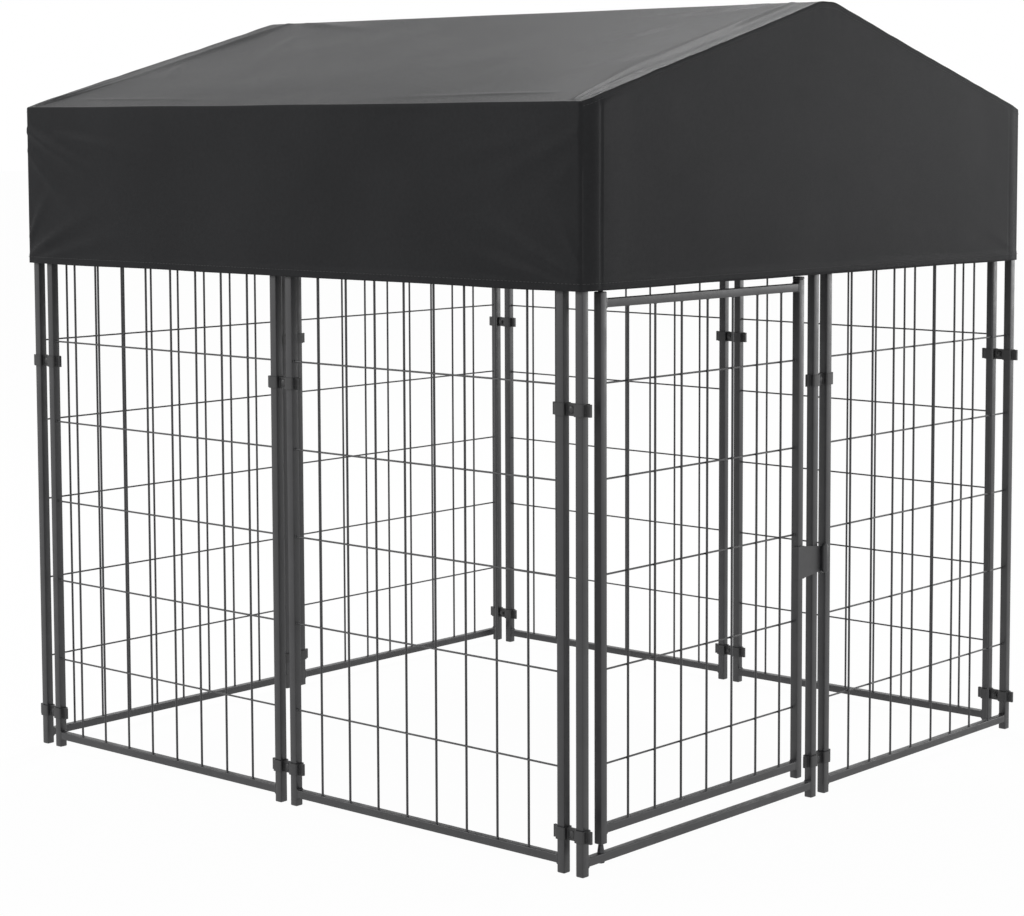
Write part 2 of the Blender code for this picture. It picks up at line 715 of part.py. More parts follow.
def build_roof_frame(materials):
    paint = materials["frame_paint"]
    slope = rafter_direction()
    rafter = bmesh.new()
    eave = Vector((-WALL_X, 0, EAVE_AXIS_Z))
    top = Vector((0, 0, RAFTER_TOP_Z))
    start = eave + slope * (ELBOW_BEND * math.tan(math.pi / 4 - ROOF_PITCH / 2) + 2 * GAP)
    end = top - slope * (APEX_MIDDLE + GAP)
    add_tube(rafter, start, end, POST_SIDE, Y)
    left_rafter = finish_mesh(rafter, "left_rafter")
    left_elbow = elbow_mesh()
    right_rafter = mirrored(left_rafter, X, "right_rafter")
    right_elbow = mirrored(left_elbow, X, "right_elbow")
    apex = apex_mesh()
    for end_name, y, turn in (("front", -WALL_Y, 0), ("rear", WALL_Y, math.pi)):
        place(f"{end_name}_left_rafter", left_rafter, paint, (0, y, 0))
        place(f"{end_name}_right_rafter", right_rafter, paint, (0, y, 0))
        place(f"{end_name}_left_elbow", left_elbow, paint, (-WALL_X, y, 0))
        place(f"{end_name}_right_elbow", right_elbow, paint, (WALL_X, y, 0))
        place(f"{end_name}_apex_fitting", apex, paint, (0, y, 0), turn)
    tube = bmesh.new()
    middle = Vector((0, 0, RIDGE_AXIS_Z))
    reach = Y * (WALL_Y - APEX_MIDDLE - GAP)
    add_tube(tube, middle - reach, middle + reach, POST_SIDE)
    place("ridge_tube", finish_mesh(tube, "ridge_tube"), paint)


# Canopy


def spread_stations(half, count):
    """Places from -half to half that draw closer together towards the ends."""
    return [-half * math.cos(math.pi * (i / count)) for i in range(count + 1)]


def roof_height(x):
    """Height of the cloth's outer face over a place between the side walls."""
    return min(RIDGE_TOP, SLOPE_TOP_Z - abs(x) * math.tan(ROOF_PITCH))


def quarter_share(step, steps):
    """Where a corner of a faceted quarter round lies, whose facets touch the true round."""
    return math.pi / 2 * (step + 0.5) / steps


def boundary_walk(xs, ys):
    """Round the canopy's plan: the grid indices and the outward direction of each station."""
    last_x = len(xs) - 1
    last_y = len(ys) - 1
    sides = [
        [(i, 0) for i in range(last_x + 1)],
        [(last_x, j) for j in range(last_y + 1)],
        [(i, last_y) for i in range(last_x, -1, -1)],
        [(0, j) for j in range(last_y, -1, -1)],
    ]
    walk = []
    for side, cells in enumerate(sides):
        start = -math.pi / 2 + side * math.pi / 2
        for i, j in cells:
            walk.append((i, j, start))
        for step in range(CORNER_STEPS):
            i, j = cells[-1]
            walk.append((i, j, start + quarter_share(step, CORNER_STEPS)))
    return walk


def fold_height(spot, start, run):
    """Height at a spot on a wall of a soft fold that leaves start and dies out along run."""
    offset = spot - start
    share = min(1.0, max(0.0, offset.dot(run) / run.length_squared))
    distance = (offset - run * share).length
    return FOLD_HEIGHT * (1 - share) * math.exp(-((distance / FOLD_WIDTH) ** 2))


def fold_out(across, z, half):
    """How far the folds of a valance stand out, across from -half to half along its wall."""
    spot = Vector((across, z))
    total = 0.0
    for inward in (1, -1):
        corner_x = inward * (FOLD_INSET - half)
        low = Vector((corner_x, HEM_Z + FOLD_MARGIN))
        high = Vector((corner_x, EAVE_AXIS_Z - FOLD_MARGIN))
        total += fold_height(spot, low, Vector((inward * LOW_FOLD[0], LOW_FOLD[1])))
        total += fold_height(spot, high, Vector((inward * HIGH_FOLD[0], HIGH_FOLD[1])))
    return total * min(1.0, max(0.0, (z - HEM_Z) / HEM_BAND))


def faces_wall(angle):
    """True where a direction in plan points straight out of one of the four walls."""
    return abs(math.sin(2 * angle)) < 1e-6


def cloth_point(x, y, angle, out, z):
    """A place out from the flat roof's border, further out at the corners of a faceted round."""
    if not faces_wall(angle):
        out /= math.cos(quarter_share(0, CORNER_STEPS))
    return (x + out * math.cos(angle), y + out * math.sin(angle), z)


def add_canopy_sheet(bm):
    """The cloth's outer face: a roof grid, rounded over the tubes, and four walls to the hem."""
    border = CLOTH_OFFSET - CLOTH_EDGE
    edge_lift = CLOTH_EDGE / math.cos(ROOF_PITCH)
    xs = spread_stations(WALL_X + border, ROOF_STATIONS)
    xs[ROOF_STATIONS // 2 : ROOF_STATIONS // 2 + 1] = [-RIDGE_HALF, RIDGE_HALF]
    ys = spread_stations(WALL_Y + border, SIDE_STATIONS)
    grid = {}
    for i, x in enumerate(xs):
        for j, y in enumerate(ys):
            grid[i, j] = bm.verts.new((x, y, roof_height(x)))
    for i in range(len(xs) - 1):
        for j in range(len(ys) - 1):
            bm.faces.new((grid[i, j], grid[i + 1, j], grid[i + 1, j + 1], grid[i, j + 1]))
    walk = boundary_walk(xs, ys)
    rows = [[grid[i, j] for i, j, angle in walk]]
    for step in range(EDGE_STEPS):
        tilt = quarter_share(step, EDGE_STEPS)
        spread = 1 / math.cos(quarter_share(0, EDGE_STEPS))
        out = CLOTH_EDGE * math.sin(tilt) * spread
        rise = edge_lift * (math.cos(tilt) * spread - 1)
        row = []
        for i, j, angle in walk:
            z = roof_height(xs[i]) + rise
            row.append(bm.verts.new(cloth_point(xs[i], ys[j], angle, out, z)))
        rows.append(row)
    for level in range(1, VALANCE_LEVELS + 1):
        share = level / VALANCE_LEVELS
        row = []
        for i, j, angle in walk:
            z = (roof_height(xs[i]) - edge_lift) * (1 - share) + HEM_Z * share
            out = CLOTH_EDGE
            if faces_wall(angle) and abs(math.sin(angle)) > 0.5:
                out += fold_out(xs[i], z, WALL_X)
            elif faces_wall(angle):
                out += fold_out(ys[j], z, WALL_Y)
            row.append(bm.verts.new(cloth_point(xs[i], ys[j], angle, out, z)))
        rows.append(row)
    count = len(walk)
    for high, low in zip(rows, rows[1:]):
        for i in range(count):
            j = (i + 1) % count
            corners = []
            for vert in (high[i], low[i], low[j], high[j]):
                if vert not in corners:
                    corners.append(vert)
            bm.faces.new(corners)


def build_canopy(materials):
    bm = bmesh.new()
    add_canopy_sheet(bm)
    bmesh.ops.recalc_face_normals(bm, faces=bm.faces)
    if max(bm.faces, key=lambda face: face.calc_center_median().z).normal.z < 0:
        bmesh.ops.reverse_faces(bm, faces=bm.faces)
    mesh = bpy.data.meshes.new("canopy")
    bm.to_mesh(mesh)
    bm.free()
    mesh.shade_smooth()
    canopy = place("canopy", mesh, materials["cover_cloth"])
    shell = canopy.modifiers.new("Cloth", "SOLIDIFY")
    shell.thickness = CLOTH_THICKNESS
    shell.offset = -1
    shell.use_even_offset = True


def main():
    clear_scene()
    materials = make_materials()
    build_panels(materials)
    door_hinge = build_door(materials)
    build_hinge_pins(materials)
    build_latch(materials, door_hinge)
    build_clamps(materials)
    build_roof_frame(materials)
    build_canopy(materials)


main()
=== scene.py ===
"""
Outdoor dog kennel: the looks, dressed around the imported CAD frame.

Metres, +Z up. The door wall faces -Y, and -X is on its left as seen from outside.
Tubes get rounded corners and weld beads, wires become round, clamps become bent sheet
with bolts and nuts, and one sewn sheet of coated cloth replaces the canopy's solid.
"""

import json
import math

import bmesh
import bpy
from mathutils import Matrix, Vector, noise


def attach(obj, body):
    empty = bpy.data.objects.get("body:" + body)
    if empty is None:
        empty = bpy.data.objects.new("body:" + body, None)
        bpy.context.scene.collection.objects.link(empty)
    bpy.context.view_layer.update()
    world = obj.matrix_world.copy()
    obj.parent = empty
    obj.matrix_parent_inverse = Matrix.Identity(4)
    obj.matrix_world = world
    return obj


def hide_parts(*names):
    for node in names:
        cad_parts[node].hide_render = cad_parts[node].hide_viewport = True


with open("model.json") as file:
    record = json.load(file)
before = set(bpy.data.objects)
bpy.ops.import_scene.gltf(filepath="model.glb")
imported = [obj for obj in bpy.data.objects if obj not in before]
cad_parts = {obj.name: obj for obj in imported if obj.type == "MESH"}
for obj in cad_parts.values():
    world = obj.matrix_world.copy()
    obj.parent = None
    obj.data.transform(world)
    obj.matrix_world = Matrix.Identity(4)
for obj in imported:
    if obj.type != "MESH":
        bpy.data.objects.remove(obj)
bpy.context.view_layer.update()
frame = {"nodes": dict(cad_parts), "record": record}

# Camera, fitted to the photograph
IMAGE_WIDTH = 1024  # pixels, as are the next three
IMAGE_HEIGHT = 916
FOCAL_PIXELS = 2475
PRINCIPAL_POINT = (622.1, 340.6)  # from the picture's upper left corner
SENSOR_WIDTH = 36.0  # millimetres
CAMERA_PLACE = (-3.327, -2.979, 1.097)
CAMERA_YAW = 39.72  # degrees from +X towards +Y
CAMERA_PITCH = 4.75  # degrees down from level

# Light and floor
SKY_LIGHT = 0.62  # what lights the kennel
SKY_SEEN = 1.0  # what the camera and reflections see
FLOOR_SIZE = 60
FLOOR_DROP = 0.0005  # below the posts' ends
FLOOR_GLOW = 0.975  # share of plain white in what the camera sees of it
# Lamps: name, place, target, size and power
LAMPS = [
    ("key", (4.4, -2.6, 1.5), (0.3, -0.6, 0.9), 1.8, 58),
    ("rim", (2.6, 1.87, 5.28), (-0.3, -0.4, 1.2), 0.9, 150),
    ("side", (-4.2, 3.6, 3.4), (-0.6, 0.0, 1.0), 1.3, 100),
]

GAP = 0.0003  # between pieces that touch

# Plan of the kennel
PANEL_WIDTH = 0.5815
POST_GAP = 0.037
WALL_X = 0.6
WALL_Y = 0.637
PANEL_OFFSET = (PANEL_WIDTH + POST_GAP) / 2

# Welded panels
POST_SIDE = 0.014
RAIL_SIDE = 0.013
TUBE_ROUND = 0.0013  # radius of a tube's corners
POST_ROUND = 0.98 * TUBE_ROUND
POST_TOP = 1.115
BOTTOM_RAIL_Z = 0.0205
TOP_RAIL_Z = 1.085
TRANSOM_Z = 0.893
UPRIGHT_RADIUS = 0.0019
UPRIGHT_Y = -0.0016
CROSS_RADIUS = 0.0015
CROSS_Y = 0.0014
# Wires: the first one's distance from a post or the floor, pitch and count
UPRIGHTS = (0.071, 0.0643, 8)
CROSSES = (0.16, 0.143, 7)
SUNK = 0.001  # how far the end of a rail or a wire goes into its tube
BEAD_HEIGHT = 0.002  # of the weld over and under a rail's end
BEAD_FLUSH = 0.0004  # of the weld on a rail's outer and inner face
BEAD_LENGTH = 0.0026
# Shares of the weld's length and of its height
BEAD_STATIONS = ((-0.12, 1.0), (0.25, 0.92), (0.6, 0.5), (0.85, 0.18), (1.0, -0.1))
BEAD_RIPPLE = (0.05, 0.0003)  # across, as a share of the bead, and along
COLLAR_LENGTH = 0.0018  # of the weld round a wire's end
COLLAR_SPREAD = 0.0012
# Distance along the wire, and how far the weld stands over it
COLLAR_STATIONS = [(-0.0004, COLLAR_SPREAD), (0.0003, 0.85 * COLLAR_SPREAD)]
COLLAR_STATIONS += [(0.45 * COLLAR_LENGTH, 0.3 * COLLAR_SPREAD), (COLLAR_LENGTH, -0.0001)]
NUGGET = (0.0026, 0.0017, 0.0023)  # half sizes of the weld where two wires cross
NUGGET_LEVELS = (-0.92, -0.4, 0.4, 0.92)

# Door and its hinge pins
HINGE_X = -0.558
LATCH_STILE_X = -0.06
DOOR_BOTTOM = 0.041
DOOR_TOP = 0.868
DOOR_RAILS = (0.063, 0.8508)
DOOR_UPRIGHTS = (0.062, 0.0644, 7)
DOOR_CROSS_COUNT = 5
CAP_SIDE = 0.0146
CAP_HEIGHT = 0.004
CAP_ROUND = 0.0016
CAP_LIP = (0.0003, 0.0004)  # height of its lower edge, and how much narrower it is
PIN_RADIUS = 0.0035
PIN_BORE_RADIUS = 0.0041
PIN_HEAD_RADIUS = 0.006
PIN_HEAD_HEIGHT = 0.0025
PIN_REACH = 0.024  # depth of the bore
PIN_TIP_GAP = 0.001
# Distance, and share of the head's radius: from the head's top, and from the rail
PIN_DOME = ((0.0, 0.3), (0.0002, 0.62), (0.0007, 0.9), (0.0014, 1.0))
PIN_SHOULDER = ((0.0002, 0.92), (0.003, 0.86))
# Distance and share of the pin's radius: before the stile, and at the tip
PIN_NECK = (0.0006, 1.1)
PIN_TIP = (0.001, 0.7)

# Latch, about its spindle
LATCH_SPOT = Vector((0, -WALL_Y, 0.4))
KNOB_LENGTH = 0.05
KNOB_WIDTH = 0.013
KNOB_DEPTH = 0.0085
KNOB_BACK_Y = -0.0101
# Shares of the knob's depth, width and length, from its back to its front
KNOB_TAPER = [(0.0, 0.96, 0.985), (0.05, 1.0, 1.0), (0.4, 1.0, 1.0), (0.62, 0.94, 0.985)]
KNOB_TAPER += [(0.8, 0.83, 0.955), (0.93, 0.66, 0.915), (1.0, 0.42, 0.87)]
CAM_LENGTH = 0.036
CAM_WIDTH = 0.012
CAM_DEPTH = 0.003
CAM_FRONT_Y = 0.008
CAM_EDGE = 0.0004
SPINDLE_RADIUS = 0.0039
SPINDLE_SEAT = 0.003  # how far it goes into the knob
FLANGE_DEPTH = 0.002
# Shares of the depth and radius of the spindle's rear head
FLANGE_STATIONS = ((0.0, 1.0), (0.6, 1.0), (0.9, 0.8), (1.0, 0.4))
PLATE_BEVEL = 0.0005  # of the pieces that keep their CAD shape
PLATE_ANGLE = math.radians(50)

# Clamps, about the point midway between two posts
CLAMP_HEIGHTS = {"low": 0.061, "high": 0.696}
CLAMP_LENGTH = 0.073
CLAMP_HEIGHT = 0.019
CLAMP_PLATE = 0.002
CLAMP_HALF_GAP = 0.00015
CLAMP_FOLD = 0.0016  # radius of a fold's middle line
CLAMP_EDGE = 0.00025
BOLT_RADIUS = 0.003
BOLT_END = 0.0014  # of thread past the nut
BOLT_HEAD_RADIUS = 0.0058
BOLT_HEAD_HEIGHT = 0.0024
BOLT_HEAD_RIM = 0.0004
BOLT_DOME = (0.35, 0.6, 0.8, 0.93, 1.0)  # shares of the height over the rim
BOLT_DOME_SIZE = 1.02  # over 1 it leaves a small flat on top
BOLT_SUNK = 0.0005  # how deep its head and thread start
WASHER = ((-0.0003, 0.0064), (0.0006, 0.0064), (0.0008, 0.0061))  # height and radius
NUT_FOOT = 0.0007
NUT_RADIUS = 0.0056
NUT_HEIGHT = 0.0042
NUT_CHAMFER = 0.0004
THREAD_PITCH = 0.0008
THREAD_DEPTH = 0.0003
THREAD_TIP = (0.0002, 0.0008)  # length and depth of the chamfer at its end

# Canopy
CLOTH_OFFSET = 0.012  # from a tube's centre line to the cloth's outer face
CLOTH_EDGE = 0.0045  # size of the turn where the cloth goes over a tube
BORDER = CLOTH_OFFSET - CLOTH_EDGE  # from a tube's centre line to where the turn starts
EDGE_SQUARENESS = 3.6  # 2 is a round turn, and more is a sharper one
CLOTH_THICKNESS = 0.0008
RIDGE_TOP = 1.3125
RIDGE_HALF = 0.022
ROOF_PITCH = math.radians(16.3)
EDGE_DROP = CLOTH_EDGE / math.cos(ROOF_PITCH)  # height of the turn
ROOF_ROUNDING = 5  # the higher, the tighter the turns beside the ridge
HEM_Z = 0.87
EAVE_LIFTS = (0.005, 0.002)  # how far the cloth stands over a straight slope, left and right
GABLE_DIP = 0.0014  # how far the roof's cloth is drawn down along a gable's edge
REAR_LEAN = 0.006  # how far the rear gable hangs out
CORNER_PULL = 0.0035  # how far a gable's cloth is drawn in at the corners
FACET = (0.031, 0.003)  # width and rise of the flat strip beside a corner
FAR_FACET = 0.4  # how much of it shows at the front wall's right end
CREASE = (0.0345, 0.0018, 0.0018)  # distance from the corner, half width and depth
CLOTH_CELL = 0.01  # size of the cloth's grid
FINE_CELL = 0.0032  # the same near its edges and its ridge
FINE_EDGE = 0.075  # how far in from an edge the fine cells reach
RIDGE_FINE = 0.04  # and from the ridge's middle
WELT_RADIUS = 0.001  # of the seam along a gable's upper edges
CORNER_STEPS = 5
CORNER_START = 0.004  # a corner is this far past both of its walls' centre lines
EDGE_STEPS = 6
WELT_STEP = 3  # the step of the turn that a gable's seam lies on
VALANCE_LEVELS = 38
HEM_BAND = 0.016
HEM_FOLD = 0.0007  # how far the doubled hem stands out
SAG = 0.0008  # of the eaves between the gables
SAG_SHAPE = 1.5  # the higher, the nearer to the eave
VALANCE_CROWDING = 0.09  # how much closer the levels are at the eave and the hem
EAVE_FADE = 0.012  # a wall's folds grow over this distance below its top
STITCH_PITCH = 0.0075
STITCH_LENGTH = 0.0048
STITCH_RADIUS = 0.00045
STITCH_RISE = 0.011  # of the hem's stitches above its edge
# Shares of a stitch's length, of its height over the cloth, and of its thickness
STITCH_STATIONS = ((0.0, -0.3, 0.55), (0.25, 0.55, 1.0), (0.75, 0.55, 1.0), (1.0, -0.3, 0.55))
THREAD_SPACING = 0.0011  # of the weave

# Heights of the cloth's unevenness: a ripple or pucker is short, and a drift is long
ROOF_RIPPLE = 0.0012
ROOF_DRIFT = 0.0009
WALL_RIPPLE = 0.0005
WALL_DRIFT = 0.0008
GABLE_PUCKER = 0.0006
HEM_DRIFT = 0.0012
FOLD_SHIFT = 0.012  # how far the folds of each end may move up or down

# A fold widens, swells quickly and then dies out: value at its start, and growth along it
FOLD_WIDTHS = (0.55, 0.9)
FOLD_SWELLS = (0.35, 3)
FOLD_FADING = 1.2
FOLD_REACH = 3  # in half widths

# Folds of a wall: start and end as (distance from the corner, distance from the eave or hem),
# then half width and height. The first list falls from the eave, the second rises from the hem.
HIGH_FOLDS = [
    ((0.0, 0.038), (0.26, 0.15), 0.011, 0.0088),
    ((0.085, 0.046), (0.36, 0.092), 0.01, 0.006),
    ((0.0, 0.075), (0.16, 0.2), 0.0095, 0.0046),
]
LOW_FOLDS = [
    ((0.004, 0.016), (0.22, 0.112), 0.0105, 0.0084),
    ((0.02, 0.006), (0.29, 0.062), 0.009, 0.0062),
    ((0.0, 0.045), (0.08, 0.15), 0.009, 0.0044),
]
# How strong the two lists are at each end of a wall: (falling, rising) at its low and high end
FOLD_STRENGTHS = {
    "front": ((0.04, 0.05), (0.05, 0.08)),
    "left": ((0.2, 0.8), (1.0, 1.0)),
    "rear": ((0.3, 0.4), (0.4, 0.35)),
    "right": ((0.55, 0.8), (0.9, 0.75)),
}
# Folds of a roof slope: start and end as (distance from the ridge, distance from the gable),
# then half width and height
ROOF_FOLDS = [
    ((0.6, 0.017), (0.4, 0.029), 0.0048, 0.0042),
    ((0.597, 0.028), (0.39, 0.066), 0.0055, 0.0042),
    ((0.03, 0.052), (0.52, 0.06), 0.015, 0.0072),
    ((0.03, 0.1), (0.11, 0.38), 0.015, 0.0052),
    ((0.15, 0.19), (0.33, 0.3), 0.016, 0.0026),
    ((0.34, 0.1), (0.45, 0.19), 0.013, 0.0026),
    ((0.56, 0.1), (0.577, 0.56), 0.008, 0.0014),
]
# How strong they are at the four corners: front left, front right, rear left and rear right
ROOF_STRENGTHS = (1.0, 0.75, 0.85, 0.65)

# Colours, linear
PIN_COLOR = (0.075, 0.075, 0.078)
CAP_COLOR = (0.018, 0.018, 0.019)
CLOTH_COLOR = (0.028, 0.0283, 0.0298)
SLUB_COLOR = (0.004, 0.004, 0.0045)
THREAD_COLOR = (0.012, 0.012, 0.013)
# Paints: colour, colour of the scuffs, and roughness
PAINTS = {
    "frame_paint": ((0.025, 0.025, 0.027), (0.08, 0.08, 0.082), 0.41),
    "clamp_paint": ((0.019, 0.019, 0.02), (0.12, 0.12, 0.12), 0.45),
    "latch_paint": ((0.022, 0.022, 0.024), (0.1, 0.1, 0.1), 0.38),
}

X = Vector((1, 0, 0))
Y = Vector((0, 1, 0))
Z = Vector((0, 0, 1))
SHARP_ANGLE = math.radians(38)
QUARTER = math.pi / 2


# Node materials


def new_material(name):
    material = bpy.data.materials.new(name)
    material.use_nodes = True
    return material, material.node_tree, material.node_tree.nodes["Principled BSDF"]


def add_noise(tree, coordinates, scale, detail):
    texture = tree.nodes.new("ShaderNodeTexNoise")
    texture.inputs["Scale"].default_value = scale
    texture.inputs["Detail"].default_value = detail
    tree.links.new(coordinates, texture.inputs["Vector"])
    return texture.outputs["Fac"]


def add_range(tree, value, low, high, source=(0.3, 0.7)):
    """Map a texture's middle range to values from low to high."""
    node = tree.nodes.new("ShaderNodeMapRange")
    limits = {"From Min": source[0], "From Max": source[1], "To Min": low, "To Max": high}
    for socket, limit in limits.items():
        node.inputs[socket].default_value = limit
    tree.links.new(value, node.inputs["Value"])
    return node.outputs["Result"]


def add_color_mix(tree, factor, first, second):
    node = tree.nodes.new("ShaderNodeMix")
    node.data_type = "RGBA"
    tree.links.new(factor, node.inputs["Factor"])
    for socket, color in (("A", first), ("B", second)):
        place = next(s for s in node.inputs if s.name == socket and s.type == "RGBA")
        if isinstance(color, tuple):
            place.default_value = (*color, 1.0)
        else:
            tree.links.new(color, place)
    return next(s for s in node.outputs if s.type == "RGBA")


def add_math(tree, operation, first, second=None):
    node = tree.nodes.new("ShaderNodeMath")
    node.operation = operation
    for socket, value in zip(node.inputs, (first, second)):
        if value is None:
            continue
        if isinstance(value, (int, float)):
            socket.default_value = value
        else:
            tree.links.new(value, socket)
    return node.outputs[0]


def add_bump(tree, height, distance, strength=1.0, under=None):
    node = tree.nodes.new("ShaderNodeBump")
    node.inputs["Distance"].default_value = distance
    node.inputs["Strength"].default_value = strength
    tree.links.new(height, node.inputs["Height"])
    if under:
        tree.links.new(under, node.inputs["Normal"])
    return node.outputs["Normal"]


def add_mottle(tree, spot, dark, light, scale, detail):
    """A colour that wanders between two shades."""
    share = add_range(tree, add_noise(tree, spot, scale, detail), 0.0, 1.0)
    return add_color_mix(tree, share, dark, light)


def object_coordinates(tree):
    return tree.nodes.new("ShaderNodeTexCoord").outputs["Object"]


def axes_of(tree, vector):
    node = tree.nodes.new("ShaderNodeSeparateXYZ")
    tree.links.new(vector, node.inputs[0])
    return list(node.outputs)


def shade(color, share):
    return tuple(share * part for part in color)


def drive(tree, shader, color, roughness, normal):
    """Let textures set a shader's colour, roughness and normal."""
    for socket, source in (("Base Color", color), ("Roughness", roughness), ("Normal", normal)):
        tree.links.new(source, shader.inputs[socket])


def powder_coat(name, color, scuff, roughness):
    """Baked paint: fine orange peel, slow changes of shade, and small paler scuffs."""
    material, tree, shader = new_material(name)
    shader.inputs["Specular IOR Level"].default_value = 0.62
    spot = object_coordinates(tree)
    base = add_mottle(tree, spot, shade(color, 0.8), shade(color, 1.25), scale=14, detail=4)
    scratches = add_noise(tree, spot, scale=240, detail=5)
    marks = add_range(tree, scratches, 0.0, 0.55, source=(0.66, 0.78))
    worn = add_noise(tree, spot, scale=45, detail=3)
    gloss = add_range(tree, worn, roughness - 0.05, roughness + 0.07)
    peel = add_bump(tree, add_noise(tree, spot, scale=750, detail=2), distance=0.00009)
    waves = add_noise(tree, spot, scale=130, detail=1)
    surface = add_bump(tree, waves, distance=0.00012, under=peel)
    drive(tree, shader, add_color_mix(tree, marks, base, scuff), gloss, surface)
    return material


def blackened_steel(name, color, roughness):
    """Black oxide under oil: a mottled dark coat with fine scratches."""
    material, tree, shader = new_material(name)
    shader.inputs["Metallic"].default_value = 1.0
    spot = object_coordinates(tree)
    coat = add_mottle(tree, spot, shade(color, 0.62), color, scale=260, detail=4)
    oil = add_noise(tree, spot, scale=420, detail=3)
    gloss = add_range(tree, oil, roughness - 0.1, roughness + 0.15)
    grain = add_bump(tree, add_noise(tree, spot, scale=1500, detail=3), distance=0.00003)
    drive(tree, shader, coat, gloss, grain)
    return material


def moulded_plastic(name, color):
    """Black plastic with the fine grain of a spark-eroded mould."""
    material, tree, shader = new_material(name)
    spot = object_coordinates(tree)
    body = add_mottle(tree, spot, color, shade(color, 1.3), scale=60, detail=2)
    gloss = add_range(tree, add_noise(tree, spot, scale=90, detail=2), 0.48, 0.6)
    grain = add_bump(tree, add_noise(tree, spot, scale=1800, detail=2), distance=0.00005)
    drive(tree, shader, body, gloss, grain)
    return material


def add_weave(tree, spot):
    """The height of a plain weave along whichever two axes the surface spans."""
    threads = []
    for axis in axes_of(tree, spot):
        turns = add_math(tree, "MULTIPLY", axis, 2 * math.pi / THREAD_SPACING)
        threads.append(add_math(tree, "SINE", turns))
    geometry = tree.nodes.new("ShaderNodeNewGeometry")
    weave = None
    for i, part in enumerate(axes_of(tree, geometry.outputs["Normal"])):
        share = add_math(tree, "MULTIPLY", part, part)
        crossing = add_math(tree, "MULTIPLY", threads[(i + 1) % 3], threads[(i + 2) % 3])
        weighed = add_math(tree, "MULTIPLY", share, crossing)
        weave = add_math(tree, "ADD", weave, weighed) if weave else weighed
    return weave


def coated_cloth(name, color, slub_color):
    """Coated plain weave, with slow clouds of shade and darker slubs."""
    material, tree, shader = new_material(name)
    shader.inputs["Specular IOR Level"].default_value = 0.025
    spot = object_coordinates(tree)
    broad = add_mottle(tree, spot, shade(color, 0.92), shade(color, 1.08), scale=5, detail=4)
    slubs = add_range(tree, add_noise(tree, spot, scale=160, detail=3), 0.0, 1.0)
    faint = add_math(tree, "MULTIPLY", slubs, 0.12)
    coat = add_noise(tree, spot, scale=9, detail=1)
    gloss = add_range(tree, coat, 0.285, 0.33, source=(0.0, 1.0))
    ripple = add_bump(tree, add_noise(tree, spot, scale=30, detail=2), 0.0003, strength=0.5)
    woven = add_bump(tree, add_weave(tree, spot), 0.00007, strength=0.7, under=ripple)
    drive(tree, shader, add_color_mix(tree, faint, broad, slub_color), gloss, woven)
    return material


def sewing_thread(name, color):
    material, tree, shader = new_material(name)
    shader.inputs["Roughness"].default_value = 0.6
    spot = object_coordinates(tree)
    strands = add_mottle(tree, spot, color, shade(color, 1.8), scale=900, detail=2)
    tree.links.new(strands, shader.inputs["Base Color"])
    twist = add_bump(tree, add_noise(tree, spot, scale=2600, detail=1), distance=0.00008)
    tree.links.new(twist, shader.inputs["Normal"])
    return material


# Rings and lofts


def round_rectangle(center, u, v, width, height, radius, steps=3):
    """A rectangle with round corners in the plane of u and v: 4 * (steps + 1) points."""
    points = []
    signs = ((1, 1), (-1, 1), (-1, -1), (1, -1))
    for corner, (side_u, side_v) in enumerate(signs):
        across = side_u * (width / 2 - radius)
        up = side_v * (height / 2 - radius)
        for step in range(steps + 1):
            angle = QUARTER * (corner + step / steps)
            spot_u = u * (across + radius * math.cos(angle))
            points.append(center + spot_u + v * (up + radius * math.sin(angle)))
    return points


def circle(center, u, v, radius, count=16):
    points = []
    for i in range(count):
        angle = 4 * QUARTER * (i + 0.5) / count
        points.append(center + u * (radius * math.cos(angle)) + v * (radius * math.sin(angle)))
    return points


def add_loft(bm, rings):
    """A closed skin through rings of equally many points."""
    rows = [[bm.verts.new(point) for point in points] for points in rings]
    count = len(rows[0])
    for low, high in zip(rows, rows[1:]):
        for i in range(count):
            j = (i + 1) % count
            bm.faces.new((low[i], low[j], high[j], high[i]))
    bm.faces.new(rows[0])
    bm.faces.new(rows[-1])


def add_lathe(bm, origin, axis, side, profile, count=20):
    """A turned solid through (distance along axis, radius) stations."""
    other = axis.cross(side)
    rings = [circle(origin + axis * far, side, other, radius, count) for far, radius in profile]
    add_loft(bm, rings)


def rounded_end(side, depth=TUBE_ROUND, steps=3):
    """(distance from the end, side) stations round the closed end of a tube."""
    stations = []
    for step in range(steps + 1):
        angle = QUARTER * step / steps
        inset = depth * (1 - math.sin(angle))
        stations.append((depth * (1 - math.cos(angle)), side - 2 * inset))
    return stations


def plain_mesh(bm, name):
    mesh = bpy.data.meshes.new(name)
    bm.to_mesh(mesh)
    bm.free()
    return mesh


def finish_mesh(bm, name):
    bmesh.ops.recalc_face_normals(bm, faces=bm.faces)
    mesh = plain_mesh(bm, name)
    mesh.shade_smooth()
    mesh.set_sharp_from_angle(angle=SHARP_ANGLE)
    return mesh


def put(name, mesh, material, nodes=(), place=(0, 0, 0), turn=0.0, body="root"):
    """Set a piece down, give it its finish, and let it ride on its body."""
    piece = bpy.data.objects.new(name, mesh)
    bpy.context.scene.collection.objects.link(piece)
    piece.location = place
    piece.rotation_euler = (0, 0, turn)
    if not mesh.materials:
        mesh.materials.append(material)
    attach(piece, body)
    if nodes:
        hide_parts(*nodes)
    return piece


def put_detail(node, mesh, material, place, turn=0.0, body="root"):
    """Set down the finer piece that stands for one CAD node."""
    put(node + "_detail", mesh, material, [node], place, turn, body)


# Welded panels and door


